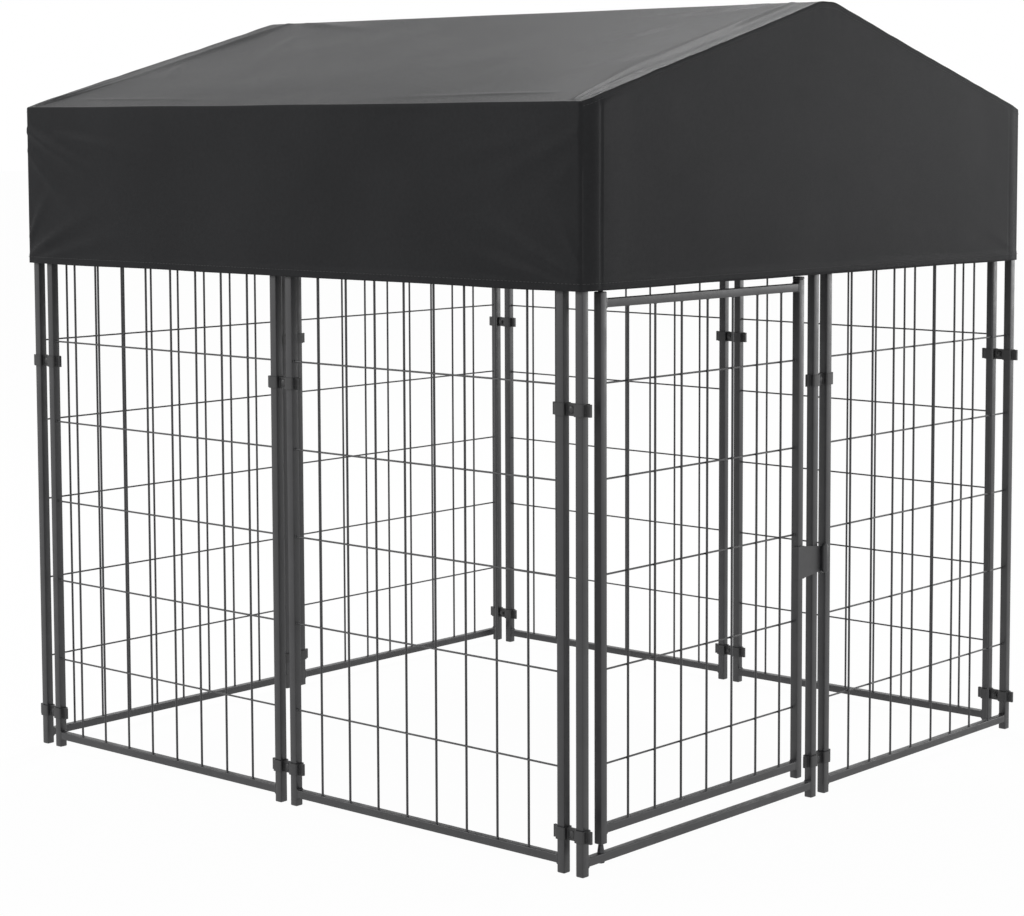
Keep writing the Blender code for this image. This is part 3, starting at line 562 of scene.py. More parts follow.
def add_post(bm, x, bottom, top, drilled=False):
    """An upright tube with closed round ends, drilled for hinge pins if asked."""
    ends = rounded_end(POST_SIDE)
    stations = [(bottom + rise, side) for rise, side in ends]
    stations += [(top - rise, side) for rise, side in reversed(ends)]
    rings = []
    for z, side in stations:
        rings.append(round_rectangle(Vector((x, 0, z)), X, Y, side, side, POST_ROUND))
    if drilled:
        bores = []
        for z in (bottom + PIN_REACH, bottom, top, top - PIN_REACH):
            bores.append(circle(Vector((x, 0, z)), X, Y, PIN_BORE_RADIUS))
        rings = [*bores[:2], *rings, *bores[2:]]
    add_loft(bm, rings)


def add_rail_bead(bm, face_x, way, z):
    """The rippled weld where a rail's end meets a post."""
    rings = []
    for share, lift in BEAD_STATIONS:
        center = Vector((face_x + way * BEAD_LENGTH * share, 0, z))
        width = RAIL_SIDE + 2 * BEAD_FLUSH * lift
        height = RAIL_SIDE + 2 * BEAD_HEIGHT * lift
        points = round_rectangle(center, Y, Z, width, height, TUBE_ROUND, 5)
        for i, point in enumerate(points):
            ripple = noise.noise(Vector((37 * i, 900 * share, 500 * z + 80 * face_x)))
            across = (point - center) * (BEAD_RIPPLE[0] * ripple)
            points[i] = point + across + X * (way * BEAD_RIPPLE[1] * ripple)
        rings.append(points)
    add_loft(bm, rings)


def add_rail(bm, z, x_from, x_to):
    """A rail between two posts, with its weld beads."""
    faces = (x_from + POST_SIDE / 2, x_to - POST_SIDE / 2)
    rings = []
    for x in (faces[0] - SUNK, faces[1] + SUNK):
        rings.append(round_rectangle(Vector((x, 0, z)), Y, Z, RAIL_SIDE, RAIL_SIDE, TUBE_ROUND))
    add_loft(bm, rings)
    add_rail_bead(bm, faces[0], 1, z)
    add_rail_bead(bm, faces[1], -1, z)


def add_wire(bm, start, end, radius, count=12):
    """A wire between two tubes' faces, with the weld collar at each end."""
    along = (end - start).normalized()
    side = Y if abs(along.y) < 0.5 else X
    other = along.cross(side)
    sunk = along * SUNK
    rings = [circle(spot, side, other, radius, count) for spot in (start - sunk, end + sunk)]
    add_loft(bm, rings)
    collar = [(far, radius + spread) for far, spread in COLLAR_STATIONS]
    add_lathe(bm, start, along, side, collar, count)
    add_lathe(bm, end, -along, side, collar, count)


def add_nugget(bm, center):
    """The lens of melted steel between two crossing wires."""
    half_x, half_y, half_z = NUGGET
    rings = []
    for level in NUGGET_LEVELS:
        ring = circle(Vector((0, 0, 0)), X, Z, math.sqrt(1 - level * level), 8)
        rings.append([center + Vector((p.x * half_x, level * half_y, p.z * half_z)) for p in ring])
    add_loft(bm, rings)


def add_mesh_of_wires(bm, uprights, heights, low, high, x_from, x_to):
    """Uprights between two rails, and cross wires between two posts."""
    face = POST_SIDE / 2
    for x in uprights:
        start = Vector((x, UPRIGHT_Y, low + RAIL_SIDE / 2))
        end = Vector((x, UPRIGHT_Y, high - RAIL_SIDE / 2))
        add_wire(bm, start, end, UPRIGHT_RADIUS)
    for z in heights:
        start = Vector((x_from + face, CROSS_Y, z))
        end = Vector((x_to - face, CROSS_Y, z))
        add_wire(bm, start, end, CROSS_RADIUS)
        for x in uprights:
            add_nugget(bm, Vector((x, (UPRIGHT_Y + CROSS_Y) / 2, z)))


def spaced(first, pitch, count):
    return [first + i * pitch for i in range(count)]


def panel_mesh(name, rails, wires_from, heights):
    """A panel's posts, rails, and wires between one rail and the top one."""
    half = PANEL_WIDTH / 2
    first, pitch, count = UPRIGHTS
    bm = bmesh.new()
    for x in (-half, half):
        add_post(bm, x, 0, POST_TOP)
    for z in rails:
        add_rail(bm, z, -half, half)
    uprights = spaced(first - half, pitch, count)
    add_mesh_of_wires(bm, uprights, heights, wires_from, TOP_RAIL_Z, -half, half)
    return finish_mesh(bm, name)


def door_mesh():
    width = LATCH_STILE_X - HINGE_X
    bm = bmesh.new()
    add_post(bm, 0, DOOR_BOTTOM, DOOR_TOP, drilled=True)
    add_post(bm, width, DOOR_BOTTOM, DOOR_TOP - CAP_HEIGHT)
    for z in DOOR_RAILS:
        add_rail(bm, z, 0, width)
    heights = spaced(*CROSSES)[:DOOR_CROSS_COUNT]
    add_mesh_of_wires(bm, spaced(*DOOR_UPRIGHTS), heights, *DOOR_RAILS, 0, width)
    return finish_mesh(bm, "door_detail")


def build_panels(paint):
    heights = spaced(*CROSSES)
    rails = (BOTTOM_RAIL_Z, TOP_RAIL_Z)
    plain = panel_mesh("plain_panel_detail", rails, BOTTOM_RAIL_Z, heights)
    places = {"front_right": (PANEL_OFFSET, -WALL_Y, 0)}
    for side, x, turn in (("left", -WALL_X, QUARTER), ("right", WALL_X, -QUARTER)):
        for end, y in (("front", -PANEL_OFFSET), ("rear", PANEL_OFFSET)):
            places[f"{side}_{end}"] = (x, y, turn)
    for side, x in (("left", -PANEL_OFFSET), ("right", PANEL_OFFSET)):
        places[f"rear_{side}"] = (x, WALL_Y, 2 * QUARTER)
    for name, (x, y, turn) in places.items():
        put_detail(name + "_panel", plain, paint, (x, y, 0), turn)
    rails = (BOTTOM_RAIL_Z, TRANSOM_Z, TOP_RAIL_Z)
    mesh = panel_mesh("front_door_panel_detail", rails, TRANSOM_Z, heights[-1:])
    put_detail("front_door_panel", mesh, paint, (-PANEL_OFFSET, -WALL_Y, 0))
    put_detail("door", door_mesh(), paint, (HINGE_X, -WALL_Y, 0), body="door")


def build_stile_cap(plastic):
    bottom = DOOR_TOP - CAP_HEIGHT + GAP
    stations = [(bottom, CAP_SIDE - CAP_LIP[1]), (bottom + CAP_LIP[0], CAP_SIDE)]
    top = reversed(rounded_end(CAP_SIDE, CAP_ROUND, 4))
    stations += [(DOOR_TOP - rise, side) for rise, side in top]
    bm = bmesh.new()
    add_loft(bm, [round_rectangle(Z * z, X, Y, side, side, CAP_ROUND) for z, side in stations])
    mesh = finish_mesh(bm, "door_stile_cap_detail")
    spot = (LATCH_STILE_X, -WALL_Y, 0)
    put_detail("door_stile_cap", mesh, plastic, spot, body="door")


def build_hinge_pins(steel):
    """Pins with a low domed head, a tapered shoulder and a rounded tip."""
    rail = RAIL_SIDE / 2 + GAP
    low = (BOTTOM_RAIL_Z - rail - PIN_HEAD_HEIGHT, 1, DOOR_BOTTOM + PIN_REACH - PIN_TIP_GAP)
    high = (TRANSOM_Z + rail + PIN_HEAD_HEIGHT, -1, DOOR_TOP - PIN_REACH + PIN_TIP_GAP)
    for name, (head_z, way, tip_z) in {"hinge_pin_bottom": low, "hinge_pin_top": high}.items():
        length = abs(tip_z - head_z)
        shoulder = PIN_HEAD_HEIGHT + 2 * rail
        stile = length - PIN_REACH
        profile = [(far, share * PIN_HEAD_RADIUS) for far, share in PIN_DOME]
        profile += [(PIN_HEAD_HEIGHT, PIN_HEAD_RADIUS), (PIN_HEAD_HEIGHT, PIN_RADIUS)]
        profile.append((shoulder, PIN_RADIUS))
        profile += [(shoulder + far, share * PIN_HEAD_RADIUS) for far, share in PIN_SHOULDER]
        profile += [(stile - PIN_NECK[0], PIN_NECK[1] * PIN_RADIUS), (stile, PIN_RADIUS)]
        profile += [(length - PIN_TIP[0], PIN_RADIUS), (length, PIN_TIP[1] * PIN_RADIUS)]
        bm = bmesh.new()
        add_lathe(bm, Z * head_z, Z * way, X, profile)
        mesh = finish_mesh(bm, name + "_detail")
        put_detail(name, mesh, steel, (HINGE_X, -WALL_Y, 0))


# Latch


def slot_outline(length, width, steps=8):
    """A round-ended slot standing upright in the plane of X and Z."""
    points = []
    reach = (length - width) / 2
    for half, start in ((1, 0), (-1, math.pi)):
        for step in range(steps + 1):
            angle = start + math.pi * step / steps
            x = width / 2 * math.cos(angle)
            z = width / 2 * math.sin(angle) + half * reach
            points.append(Vector((x, 0, z)))
    return points


def slot_mesh(name, stations):
    """A round-ended bar through (y, length, width) stations."""
    bm = bmesh.new()
    rings = []
    for y, length, width in stations:
        rings.append([Y * y + point for point in slot_outline(length, width)])
    add_loft(bm, rings)
    return finish_mesh(bm, name)


def spindle_mesh():
    start_y = KNOB_BACK_Y - SPINDLE_SEAT
    flange = CAM_FRONT_Y + CAM_DEPTH + GAP - start_y
    head = CAM_WIDTH / 2 - GAP
    profile = [(0, SPINDLE_RADIUS), (flange, SPINDLE_RADIUS)]
    profile += [(flange + far * FLANGE_DEPTH, share * head) for far, share in FLANGE_STATIONS]
    bm = bmesh.new()
    add_lathe(bm, Y * start_y, Y, X, profile)
    return finish_mesh(bm, "latch_spindle_detail")


def build_latch(paint, steel):
    stations = []
    for depth, width, length in KNOB_TAPER:
        y = KNOB_BACK_Y - KNOB_DEPTH * depth
        stations.append((y, KNOB_LENGTH * length, KNOB_WIDTH * width))
    knob = slot_mesh("latch_knob_detail", stations)
    stations = []
    edges = ((0, -CAM_EDGE), (CAM_EDGE, 0), (CAM_DEPTH - CAM_EDGE, 0), (CAM_DEPTH, -CAM_EDGE))
    for depth, grow in edges:
        stations.append((CAM_FRONT_Y + depth, CAM_LENGTH + 2 * grow, CAM_WIDTH + 2 * grow))
    cam = slot_mesh("latch_cam_detail", stations)
    put_detail("latch_knob", knob, paint, LATCH_SPOT, body="latch")
    put_detail("latch_cam", cam, paint, LATCH_SPOT, body="latch")
    put_detail("latch_spindle", spindle_mesh(), steel, LATCH_SPOT, body="latch")


# Clamps


def filleted(path, radius, steps=4):
    """A path in plan with each corner turned into an arc."""
    points = [path[0]]
    for before, corner, after in zip(path, path[1:], path[2:]):
        arriving = (corner - before).normalized()
        leaving = (after - corner).normalized()
        start = corner - arriving * radius
        end = corner + leaving * radius
        middle = corner + (leaving - arriving) * radius
        for step in range(steps + 1):
            turn = QUARTER * step / steps
            spot = middle + (start - middle) * math.cos(turn) + (end - middle) * math.sin(turn)
            points.append(spot)
    return [*points, path[-1]]


def offset_path(path, far):
    """The path moved sideways by far, mitred at its turns."""
    points = []
    for i, point in enumerate(path):
        before = (path[i] - path[i - 1]).normalized() if i else None
        after = (path[i + 1] - path[i]).normalized() if i + 1 < len(path) else before
        before = before or after
        along = (before + after).normalized()
        side = Vector((-along.y, along.x, 0))
        points.append(point + side * (far / max(0.5, along.dot(after))))
    return points


def add_strip(bm, path):
    """Sheet metal bent along a path in plan, with slightly broken edges."""
    lines = []
    for z, grow in ((0, -1), (CLAMP_EDGE, 0), (CLAMP_HEIGHT - CLAMP_EDGE, 0), (CLAMP_HEIGHT, -1)):
        half = CLAMP_PLATE / 2 + grow * CLAMP_EDGE
        lift = Z * (z - CLAMP_HEIGHT / 2)
        left = [point + lift for point in offset_path(path, half)]
        right = [point + lift for point in offset_path(path, -half)]
        lines = [left, *lines, right]
    add_loft(bm, list(zip(*lines)))


def clamp_path(side):
    """The middle line of one half, over both posts. side is -1 outside and 1 inside."""
    web = side * (CLAMP_HALF_GAP + CLAMP_PLATE / 2)
    wall = POST_SIDE / 2 + GAP + CLAMP_PLATE / 2
    end = CLAMP_LENGTH / 2
    corners = [(-end, web)]
    for x in (-POST_GAP / 2, POST_GAP / 2):
        corners += [(x - wall, web), (x - wall, side * wall)]
        corners += [(x + wall, side * wall), (x + wall, web)]
    corners.append((end, web))
    return filleted([Vector((x, y, 0)) for x, y in corners], CLAMP_FOLD)


def thread_profile(start, end):
    """(distance, radius) stations of the bolt's thread, crests and roots."""
    root = BOLT_RADIUS - THREAD_DEPTH
    length, depth = THREAD_TIP
    stations = []
    far = start
    while far < end - THREAD_PITCH:
        stations += [(far, root), (far + THREAD_PITCH / 2, BOLT_RADIUS)]
        far += THREAD_PITCH
    return [*stations, (end - length, root), (end, BOLT_RADIUS - depth)]


def outer_clamp_mesh():
    """The outer half and its bolt's low domed head."""
    bm = bmesh.new()
    add_strip(bm, clamp_path(-1))
    profile = [(-BOLT_SUNK, BOLT_HEAD_RADIUS), (BOLT_HEAD_RIM, BOLT_HEAD_RADIUS)]
    for share in BOLT_DOME:
        far = BOLT_HEAD_RIM + (BOLT_HEAD_HEIGHT - BOLT_HEAD_RIM) * share
        profile.append((far, BOLT_HEAD_RADIUS * math.sqrt(BOLT_DOME_SIZE - share * share)))
    add_lathe(bm, Y * -(CLAMP_HALF_GAP + CLAMP_PLATE), -Y, X, profile, 24)
    return finish_mesh(bm, "clamp_outer_detail")


def inner_clamp_mesh():
    """The inner half, a washer, the nut and the bolt's threaded end."""
    bm = bmesh.new()
    add_strip(bm, clamp_path(1))
    narrow = NUT_RADIUS - NUT_CHAMFER
    nut = [(NUT_FOOT, narrow), (NUT_FOOT + NUT_CHAMFER, NUT_RADIUS)]
    nut += [(NUT_HEIGHT - NUT_CHAMFER, NUT_RADIUS), (NUT_HEIGHT, narrow)]
    thread = thread_profile(NUT_HEIGHT - BOLT_SUNK, NUT_HEIGHT + BOLT_END)
    for profile, count in ((WASHER, 24), (nut, 6), (thread, 16)):
        add_lathe(bm, Y * (CLAMP_HALF_GAP + CLAMP_PLATE), Y, X, profile, count)
    return finish_mesh(bm, "clamp_inner_detail")


def build_clamps(paint):
    halves = {"outer": outer_clamp_mesh(), "inner": inner_clamp_mesh()}
    corner_y = WALL_Y - POST_GAP / 2
    places = {"front": (0, -WALL_Y, 0), "rear": (0, WALL_Y, 2 * QUARTER)}
    for end, y in (("", 0), ("front_", -corner_y), ("rear_", corner_y)):
        places[end + "left"] = (-WALL_X, y, -QUARTER)
        places[end + "right"] = (WALL_X, y, QUARTER)
    for name, (x, y, turn) in places.items():
        for level, z in CLAMP_HEIGHTS.items():
            for half, mesh in halves.items():
                node = f"{name}_clamp_{level}_{half}"
                put_detail(node, mesh, paint, (x, y, z), turn)


# Parts that keep their CAD shape


def round_edges(piece):
    """Break a CAD solid's sharp edges without touching its mesh."""
    bevel = piece.modifiers.new("Edges", "BEVEL")
    bevel.width = PLATE_BEVEL
    bevel.segments = 3
    bevel.limit_method = "ANGLE"
    bevel.angle_limit = PLATE_ANGLE


def dress_cad_nodes(materials):
    """Give every node that still shows its finish."""
    slots = {part["node"]: part["material_slot"] for part in frame["record"]["subparts"]}
    for name, node in frame["nodes"].items():
        node.data.materials.clear()
        node.data.materials.append(materials[slots[name]])
        if not node.hide_render:
            round_edges(node)


# Canopy


def crease(spot, fold):
    """Height at a spot of a fold that swells from its start and dies out at its end."""
    start, end, width, height = fold
    start = Vector(start)
    run = Vector(end) - start
    share = min(1.0, max(0.0, (spot - start).dot(run) / run.length_squared))
    far = (spot - start - run * share).length
    spread = width * (FOLD_WIDTHS[0] + FOLD_WIDTHS[1] * share)
    if far > FOLD_REACH * spread:
        return 0.0
    swell = min(1.0, FOLD_SWELLS[0] + FOLD_SWELLS[1] * share) * (1 - share) ** FOLD_FADING
    return height * swell * math.exp(-((far / spread) ** 2))


def smooth_step(value, start, end):
    share = min(1.0, max(0.0, (value - start) / (end - start)))
    return share * share * (3 - 2 * share)


def roof_height(x):
    """Height of the cloth over a place between the side walls, level over the ridge."""
    rounded = (abs(x) ** ROOF_ROUNDING + RIDGE_HALF**ROOF_ROUNDING) ** (1 / ROOF_ROUNDING)
    lift = EAVE_LIFTS[0 if x < 0 else 1] * smooth_step(abs(x), RIDGE_HALF, 0.5)
    return RIDGE_TOP + (RIDGE_HALF - rounded) * math.tan(ROOF_PITCH) + lift


def roof_relief(x, y):
    """What folds and sag add to the roof's height."""
    gable = WALL_Y + CLOTH_OFFSET - abs(y)
    spot = Vector((abs(x), gable))
    corner = (x > 0) + 2 * (y > 0)
    total = 0.0
    for fold in ROOF_FOLDS:
        total += ROOF_STRENGTHS[corner] * crease(spot, fold)
    ripple = noise.noise(Vector((x * 26, y * 70, corner))) * math.exp(-gable / 0.03)
    drift = noise.noise(Vector((x * 7, y * 5, 3.0)))
    settle = min(1.0, gable / 0.08) * min(1.0, abs(x) / 0.03)
    total += ROOF_RIPPLE * ripple + ROOF_DRIFT * drift * settle
    hold = math.sin(math.pi * min(1.0, abs(x) / WALL_X))
    total -= GABLE_DIP * hold * (1 - smooth_step(gable, 0.002, 0.012))
    share = max(0.0, math.cos(QUARTER * y / (WALL_Y + CLOTH_OFFSET)))
    return total - SAG * share * (abs(x) / WALL_X) ** SAG_SHAPE


def corner_relief(inward):
    """A strip that rises from the corner to a fine crease."""
    width, rise = FACET
    place, half, depth = CREASE
    strip = rise * min(1.0, inward / width) * (1 - smooth_step(inward, width, 4 * width))
    return strip - depth * math.exp(-(((inward - place) / half) ** 2))


def wall_relief(wall, across, z, half, top):
    """How far folds push a wall's cloth out, across from -half to half."""
    inward = half - abs(across)
    end = 1 if across > 0 else 0
    falling, rising = FOLD_STRENGTHS[wall][end]
    shift = FOLD_SHIFT * noise.noise(Vector((3.1 * end, 7.7 * len(wall), 1.0)))
    high = Vector((inward, top - z + shift))
    low = Vector((inward, z - HEM_Z + 0.5 * shift))
    total = 0.0
    for strength, spot, folds in ((falling, high, HIGH_FOLDS), (rising, low, LOW_FOLDS)):
        for fold in folds:
            total += strength * crease(spot, fold)
    total += WALL_DRIFT * noise.noise(Vector((across * 6, z * 5, len(wall))))
    ripple = noise.noise(Vector((across * 28, z * 16, 5.0 + len(wall))))
    total += WALL_RIPPLE * ripple * math.exp(-inward / 0.12)
    if wall in ("front", "rear"):
        total += corner_relief(inward) * (FAR_FACET if wall == "front" and end else 1.0)
        pucker = noise.noise(Vector((across * 60, z * 30, 8.0)))
        total += GABLE_PUCKER * pucker * math.exp(-(top - z) / 0.02)
    total *= 0.35 + 0.65 * min(1.0, (z - HEM_Z) / 0.03)
    if z < HEM_Z + HEM_BAND:
        total += HEM_FOLD * min(1.0, (HEM_Z + HEM_BAND - z) / 0.002)
    return total


def settled(x, y):
    """A place in plan with the gable's corners drawn in and the rear gable hung out."""
    inward = WALL_X + CLOTH_OFFSET - abs(x)
    near = smooth_step(abs(y), WALL_Y - 0.03, WALL_Y + CLOTH_OFFSET)
    pull = CORNER_PULL * near * (1 - smooth_step(inward, 0.0, FACET[0]))
    return x, y - math.copysign(pull, y) + REAR_LEAN * smooth_step(y, 0.3, WALL_Y)


def cloth_stations(half, ridge):
    """Places from -half to half, close together by the edges and within ridge of the middle."""
    places = [0.0]
    while places[-1] < half:
        fine = places[-1] < ridge or half - places[-1] < FINE_EDGE
        places.append(places[-1] + (FINE_CELL if fine else CLOTH_CELL))
    places = [place * half / places[-1] for place in places]
    return [-place for place in reversed(places[1:])] + places


def boundary_walk(xs, ys):
    """Round the canopy's plan: grid indices, outward direction, and wall or None at a corner."""
    last_x = len(xs) - 1
    last_y = len(ys) - 1
    sides = {
        "front": [(i, 0) for i in range(last_x + 1)],
        "right": [(last_x, j) for j in range(last_y + 1)],
        "rear": [(i, last_y) for i in range(last_x, -1, -1)],
        "left": [(0, j) for j in range(last_y, -1, -1)],
    }
    walk = []
    for side, (wall, cells) in enumerate(sides.items()):
        start = -QUARTER + side * QUARTER
        walk += [(i, j, start, wall) for i, j in cells]
        i, j = cells[-1]
        for step in range(1, CORNER_STEPS):
            walk.append((i, j, start + QUARTER * step / CORNER_STEPS, None))
    return walk


def valance_share(level):
    """Levels down a wall, closer together at the eave and at the hem."""
    share = level / VALANCE_LEVELS
    return share - VALANCE_CROWDING * math.sin(2 * math.pi * share)


def hem_height(x, y):
    return HEM_Z + HEM_DRIFT * noise.noise(Vector((x * 5, y * 5, 20.0)))


def add_hung_vertex(bm, x, y, angle, out, z):
    """A vertex of the cloth that hangs outside a place on the roof's border."""
    place = settled(x + out * math.cos(angle), y + out * math.sin(angle))
    return bm.verts.new((*place, z))


def add_roof(bm, xs, ys):
    """The two slopes: a grid of faces, given back as its vertices."""
    grid = {}
    for i, x in enumerate(xs):
        for j, y in enumerate(ys):
            grid[i, j] = bm.verts.new((*settled(x, y), roof_height(x) + roof_relief(x, y)))
    for i in range(len(xs) - 1):
        for j in range(len(ys) - 1):
            bm.faces.new((grid[i, j], grid[i + 1, j], grid[i + 1, j + 1], grid[i, j + 1]))
    return grid


def wall_stand(x, y, wall, z, top):
    """How far the cloth of a wall or a corner stands out at a height."""
    fade = min(1.0, (top - z) / EAVE_FADE)
    if wall in ("front", "rear"):
        return CLOTH_EDGE + fade * wall_relief(wall, x, z, WALL_X + BORDER, top)
    if wall:
        return CLOTH_EDGE + fade * wall_relief(wall, y, z, WALL_Y + BORDER, top)
    return CLOTH_EDGE + (HEM_FOLD if z < HEM_Z + HEM_BAND else 0)


def add_canopy_sheet(bm):
    """The cloth's outer face: the roof, its turn over the tubes, and four walls to the hem."""
    xs = cloth_stations(WALL_X + BORDER, RIDGE_FINE)
    ys = cloth_stations(WALL_Y + BORDER, 0.0)
    grid = add_roof(bm, xs, ys)
    walk = boundary_walk(xs, ys)
    border = [(grid[i, j], xs[i], ys[j], angle, wall) for i, j, angle, wall in walk]
    rows = [[vert for vert, *rest in border]]
    for step in range(1, EDGE_STEPS + 1):
        tilt = QUARTER * step / EDGE_STEPS
        out = CLOTH_EDGE * math.sin(tilt) ** (2 / EDGE_SQUARENESS)
        drop = EDGE_DROP * (1 - max(0.0, math.cos(tilt)) ** (2 / EDGE_SQUARENESS))
        row = []
        for vert, x, y, angle, wall in border:
            row.append(add_hung_vertex(bm, x, y, angle, out, vert.co.z - drop))
        rows.append(row)
    for level in range(1, VALANCE_LEVELS + 1):
        share = valance_share(level)
        row = []
        for vert, x, y, angle, wall in border:
            top = vert.co.z - EDGE_DROP
            z = top * (1 - share) + hem_height(x, y) * share
            out = wall_stand(x, y, wall, z, top)
            row.append(add_hung_vertex(bm, x, y, angle, out, z))
        rows.append(row)
    for high, low in zip(rows, rows[1:]):
        for i in range(len(border)):
            j = (i + 1) % len(border)
            corners = dict.fromkeys((high[i], low[i], low[j], high[j]))
            bm.faces.new(list(corners))
    return rows, [wall for *rest, wall in border]


def add_stitch(bm, start, along, out):
    """One stitch: a short thread that dives into the cloth at both ends."""
    side = along.cross(out)
    rings = []
    for share, lift, size in STITCH_STATIONS:
        center = start + along * (STITCH_LENGTH * share) + out * (STITCH_RADIUS * lift)
        rings.append(circle(center, side, out, STITCH_RADIUS * size, 6))
    add_loft(bm, rings)


def resample(points, pitch):
    """Points a pitch apart along a polyline, each with the way it runs there."""
    spots = []
    carried = 0.0
    for before, after in zip(points, points[1:]):
        step = after - before
        length = step.length
        along = step.normalized()
        far = carried
        while far < length:
            spots.append((before + along * far, along))
            far += pitch
        carried = far - length
    return spots


def surface_row(rows, level):
    """The cloth's own points at one height, round all four walls."""
    points = []
    for i in range(len(rows[0])):
        for high, low in zip(rows, rows[1:]):
            top = high[i].co
            foot = low[i].co
            if foot.z <= level <= top.z:
                share = (top.z - level) / max(1e-9, top.z - foot.z)
                points.append(top.lerp(foot, share))
                break
    return points


def outward(point):
    """The way out of the wall that a point is on."""
    beyond_x = abs(point.x) - WALL_X
    beyond_y = abs(point.y) - WALL_Y
    way_x = X * math.copysign(1, point.x)
    way_y = Y * math.copysign(1, point.y)
    if min(beyond_x, beyond_y) > CORNER_START:
        return (way_x * beyond_x + way_y * beyond_y).normalized()
    return way_x if beyond_x > beyond_y else way_y


def add_welt(bm, points):
    """The raised seam where two pieces of cloth are sewn together."""
    rings = []
    for i, point in enumerate(points):
        along = (points[min(i + 1, len(points) - 1)] - points[max(i - 1, 0)]).normalized()
        side = along.cross(Z).normalized()
        rings.append(circle(point, side, side.cross(along), WELT_RADIUS, 8))
    add_loft(bm, rings)


def face_outward(bm):
    """Make the sheet's faces look out, so that its thickness goes inward."""
    bmesh.ops.recalc_face_normals(bm, faces=bm.faces)
    if max(bm.faces, key=lambda face: face.calc_center_median().z).normal.z < 0:
        bmesh.ops.reverse_faces(bm, faces=bm.faces)


def stitching_mesh(lines):
    bm = bmesh.new()
    for line in lines:
        for spot, along in resample(line, STITCH_PITCH):
            add_stitch(bm, spot, along, outward(spot))
    return finish_mesh(bm, "canopy_stitching")


def build_canopy(cloth, thread):
    bm = bmesh.new()
    rows, walls = add_canopy_sheet(bm)
    face_outward(bm)
    area = sum(face.calc_area() for face in bm.faces)
    hem_line = surface_row(rows, HEM_Z + STITCH_RISE)
    sewn_lines = [[*hem_line, hem_line[0]]]
    welts = bmesh.new()
    for gable in ("front", "rear"):
        indices = [i for i, wall in enumerate(walls) if wall == gable]
        add_welt(welts, [rows[WELT_STEP][i].co.copy() for i in indices])
        sewn_lines.append([rows[EDGE_STEPS + 1][i].co.copy() for i in indices])
    mesh = plain_mesh(bm, "canopy_cloth")
    mesh.shade_smooth()
    canopy = put("canopy_cloth", mesh, cloth, ["canopy"])
    shell = canopy.modifiers.new("Cloth", "SOLIDIFY")
    shell.thickness = CLOTH_THICKNESS
    shell.offset = -1
    stitched = put("canopy_stitching", stitching_mesh(sewn_lines), thread)
    seams = put("canopy_seams", finish_mesh(welts, "canopy_seams"), cloth)
    rests_on = ["ridge_tube"]
    for end in ("front", "rear"):
        for side in ("left", "right"):
            rests_on += [f"{end}_{side}_rafter", f"{end}_{side}_elbow"]


# Camera, light and floor


def set_up(name, data, place, turn):
    """Put a camera, lamp or floor in the scene."""
    thing = bpy.data.objects.new(name, data)
    thing.location = place
    thing.rotation_euler = turn
    bpy.context.scene.collection.objects.link(thing)
    return thing


def build_camera():
    data = bpy.data.cameras.new("camera")
    data.sensor_width = SENSOR_WIDTH
    data.lens = FOCAL_PIXELS / IMAGE_WIDTH * SENSOR_WIDTH
    data.shift_x = (IMAGE_WIDTH / 2 - PRINCIPAL_POINT[0]) / IMAGE_WIDTH
    data.shift_y = (PRINCIPAL_POINT[1] - IMAGE_HEIGHT / 2) / IMAGE_WIDTH
    turn = (math.radians(90 - CAMERA_PITCH), 0, math.radians(CAMERA_YAW - 90))
    bpy.context.scene.camera = set_up("camera", data, CAMERA_PLACE, turn)


def seen_directly(tree):
    """1 for rays from the camera, off gloss or through glass, and 0 for the rest."""
    path = tree.nodes.new("ShaderNodeLightPath")
    first = add_math(tree, "MAXIMUM", path.outputs["Is Camera Ray"], path.outputs["Is Glossy Ray"])
    return add_math(tree, "MAXIMUM", first, path.outputs["Is Transmission Ray"])


def build_world():
    world = bpy.data.worlds.new("studio")
    bpy.context.scene.world = world
    world.use_nodes = True
    tree = world.node_tree
    tree.nodes.clear()
    output = tree.nodes.new("ShaderNodeOutputWorld")
    mix = tree.nodes.new("ShaderNodeMixShader")
    for socket, strength in ((1, SKY_LIGHT), (2, SKY_SEEN)):
        sky = tree.nodes.new("ShaderNodeBackground")
        sky.inputs["Color"].default_value = (1, 1, 1, 1)
        sky.inputs["Strength"].default_value = strength
        tree.links.new(sky.outputs[0], mix.inputs[socket])
    tree.links.new(seen_directly(tree), mix.inputs[0])
    tree.links.new(mix.outputs[0], output.inputs["Surface"])


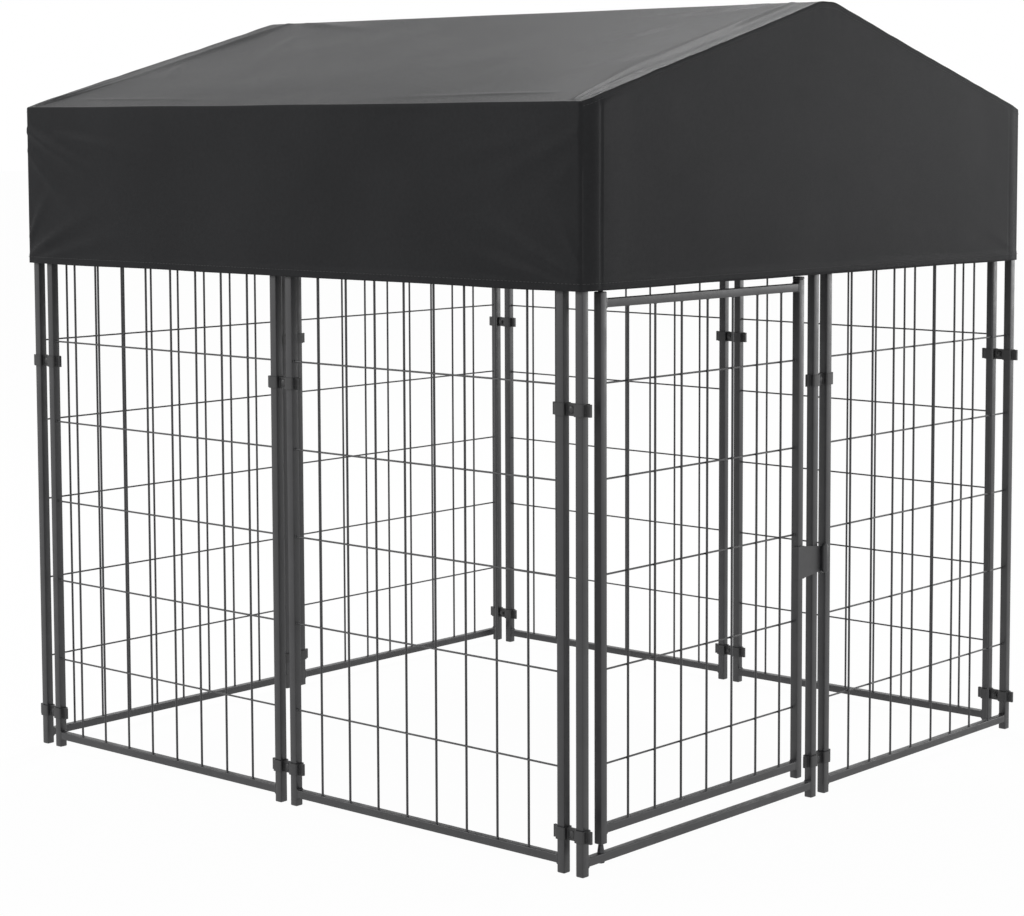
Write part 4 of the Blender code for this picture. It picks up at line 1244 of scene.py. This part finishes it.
def build_floor():
    """A white floor that shows the kennel's shadow faintly."""
    bm = bmesh.new()
    bmesh.ops.create_grid(bm, x_segments=1, y_segments=1, size=FLOOR_SIZE)
    mesh = plain_mesh(bm, "floor")
    floor = set_up("floor", mesh, (0, 0, -FLOOR_DROP), (0, 0, 0))
    material, tree, shader = new_material("floor")
    shader.inputs["Base Color"].default_value = (0.82, 0.82, 0.82, 1)
    shader.inputs["Roughness"].default_value = 0.9
    shader.inputs["Specular IOR Level"].default_value = 0.0
    glow = tree.nodes.new("ShaderNodeEmission")
    glow.inputs["Color"].default_value = (1, 1, 1, 1)
    mix = tree.nodes.new("ShaderNodeMixShader")
    share = add_math(tree, "MULTIPLY", seen_directly(tree), FLOOR_GLOW)
    for socket, source in enumerate((share, shader.outputs[0], glow.outputs[0])):
        tree.links.new(source, mix.inputs[socket])
    output = next(node for node in tree.nodes if node.type == "OUTPUT_MATERIAL")
    tree.links.new(mix.outputs[0], output.inputs["Surface"])
    mesh.materials.append(material)


def build_lamp(name, place, target, size, energy):
    data = bpy.data.lights.new(name, "AREA")
    data.shape = "DISK"
    data.size = size
    data.energy = energy
    way = Vector(target) - Vector(place)
    set_up(name, data, place, way.to_track_quat("-Z", "Y").to_euler())


def build_stage():
    build_camera()
    build_world()
    build_floor()
    for lamp in LAMPS:
        build_lamp(*lamp)
    bpy.context.scene.view_settings.view_transform = "Standard"


def main():
    materials = {name: powder_coat(name, *finish) for name, finish in PAINTS.items()}
    materials["pin_steel"] = blackened_steel("pin_steel", PIN_COLOR, 0.36)
    materials["cap_plastic"] = moulded_plastic("cap_plastic", CAP_COLOR)
    materials["cover_cloth"] = coated_cloth("cover_cloth", CLOTH_COLOR, SLUB_COLOR)
    thread = sewing_thread("sewing_thread", THREAD_COLOR)
    build_stage()
    build_panels(materials["frame_paint"])
    build_stile_cap(materials["cap_plastic"])
    build_hinge_pins(materials["pin_steel"])
    build_latch(materials["latch_paint"], materials["pin_steel"])
    build_clamps(materials["clamp_paint"])
    build_canopy(materials["cover_cloth"], thread)
    dress_cad_nodes(materials)


main()
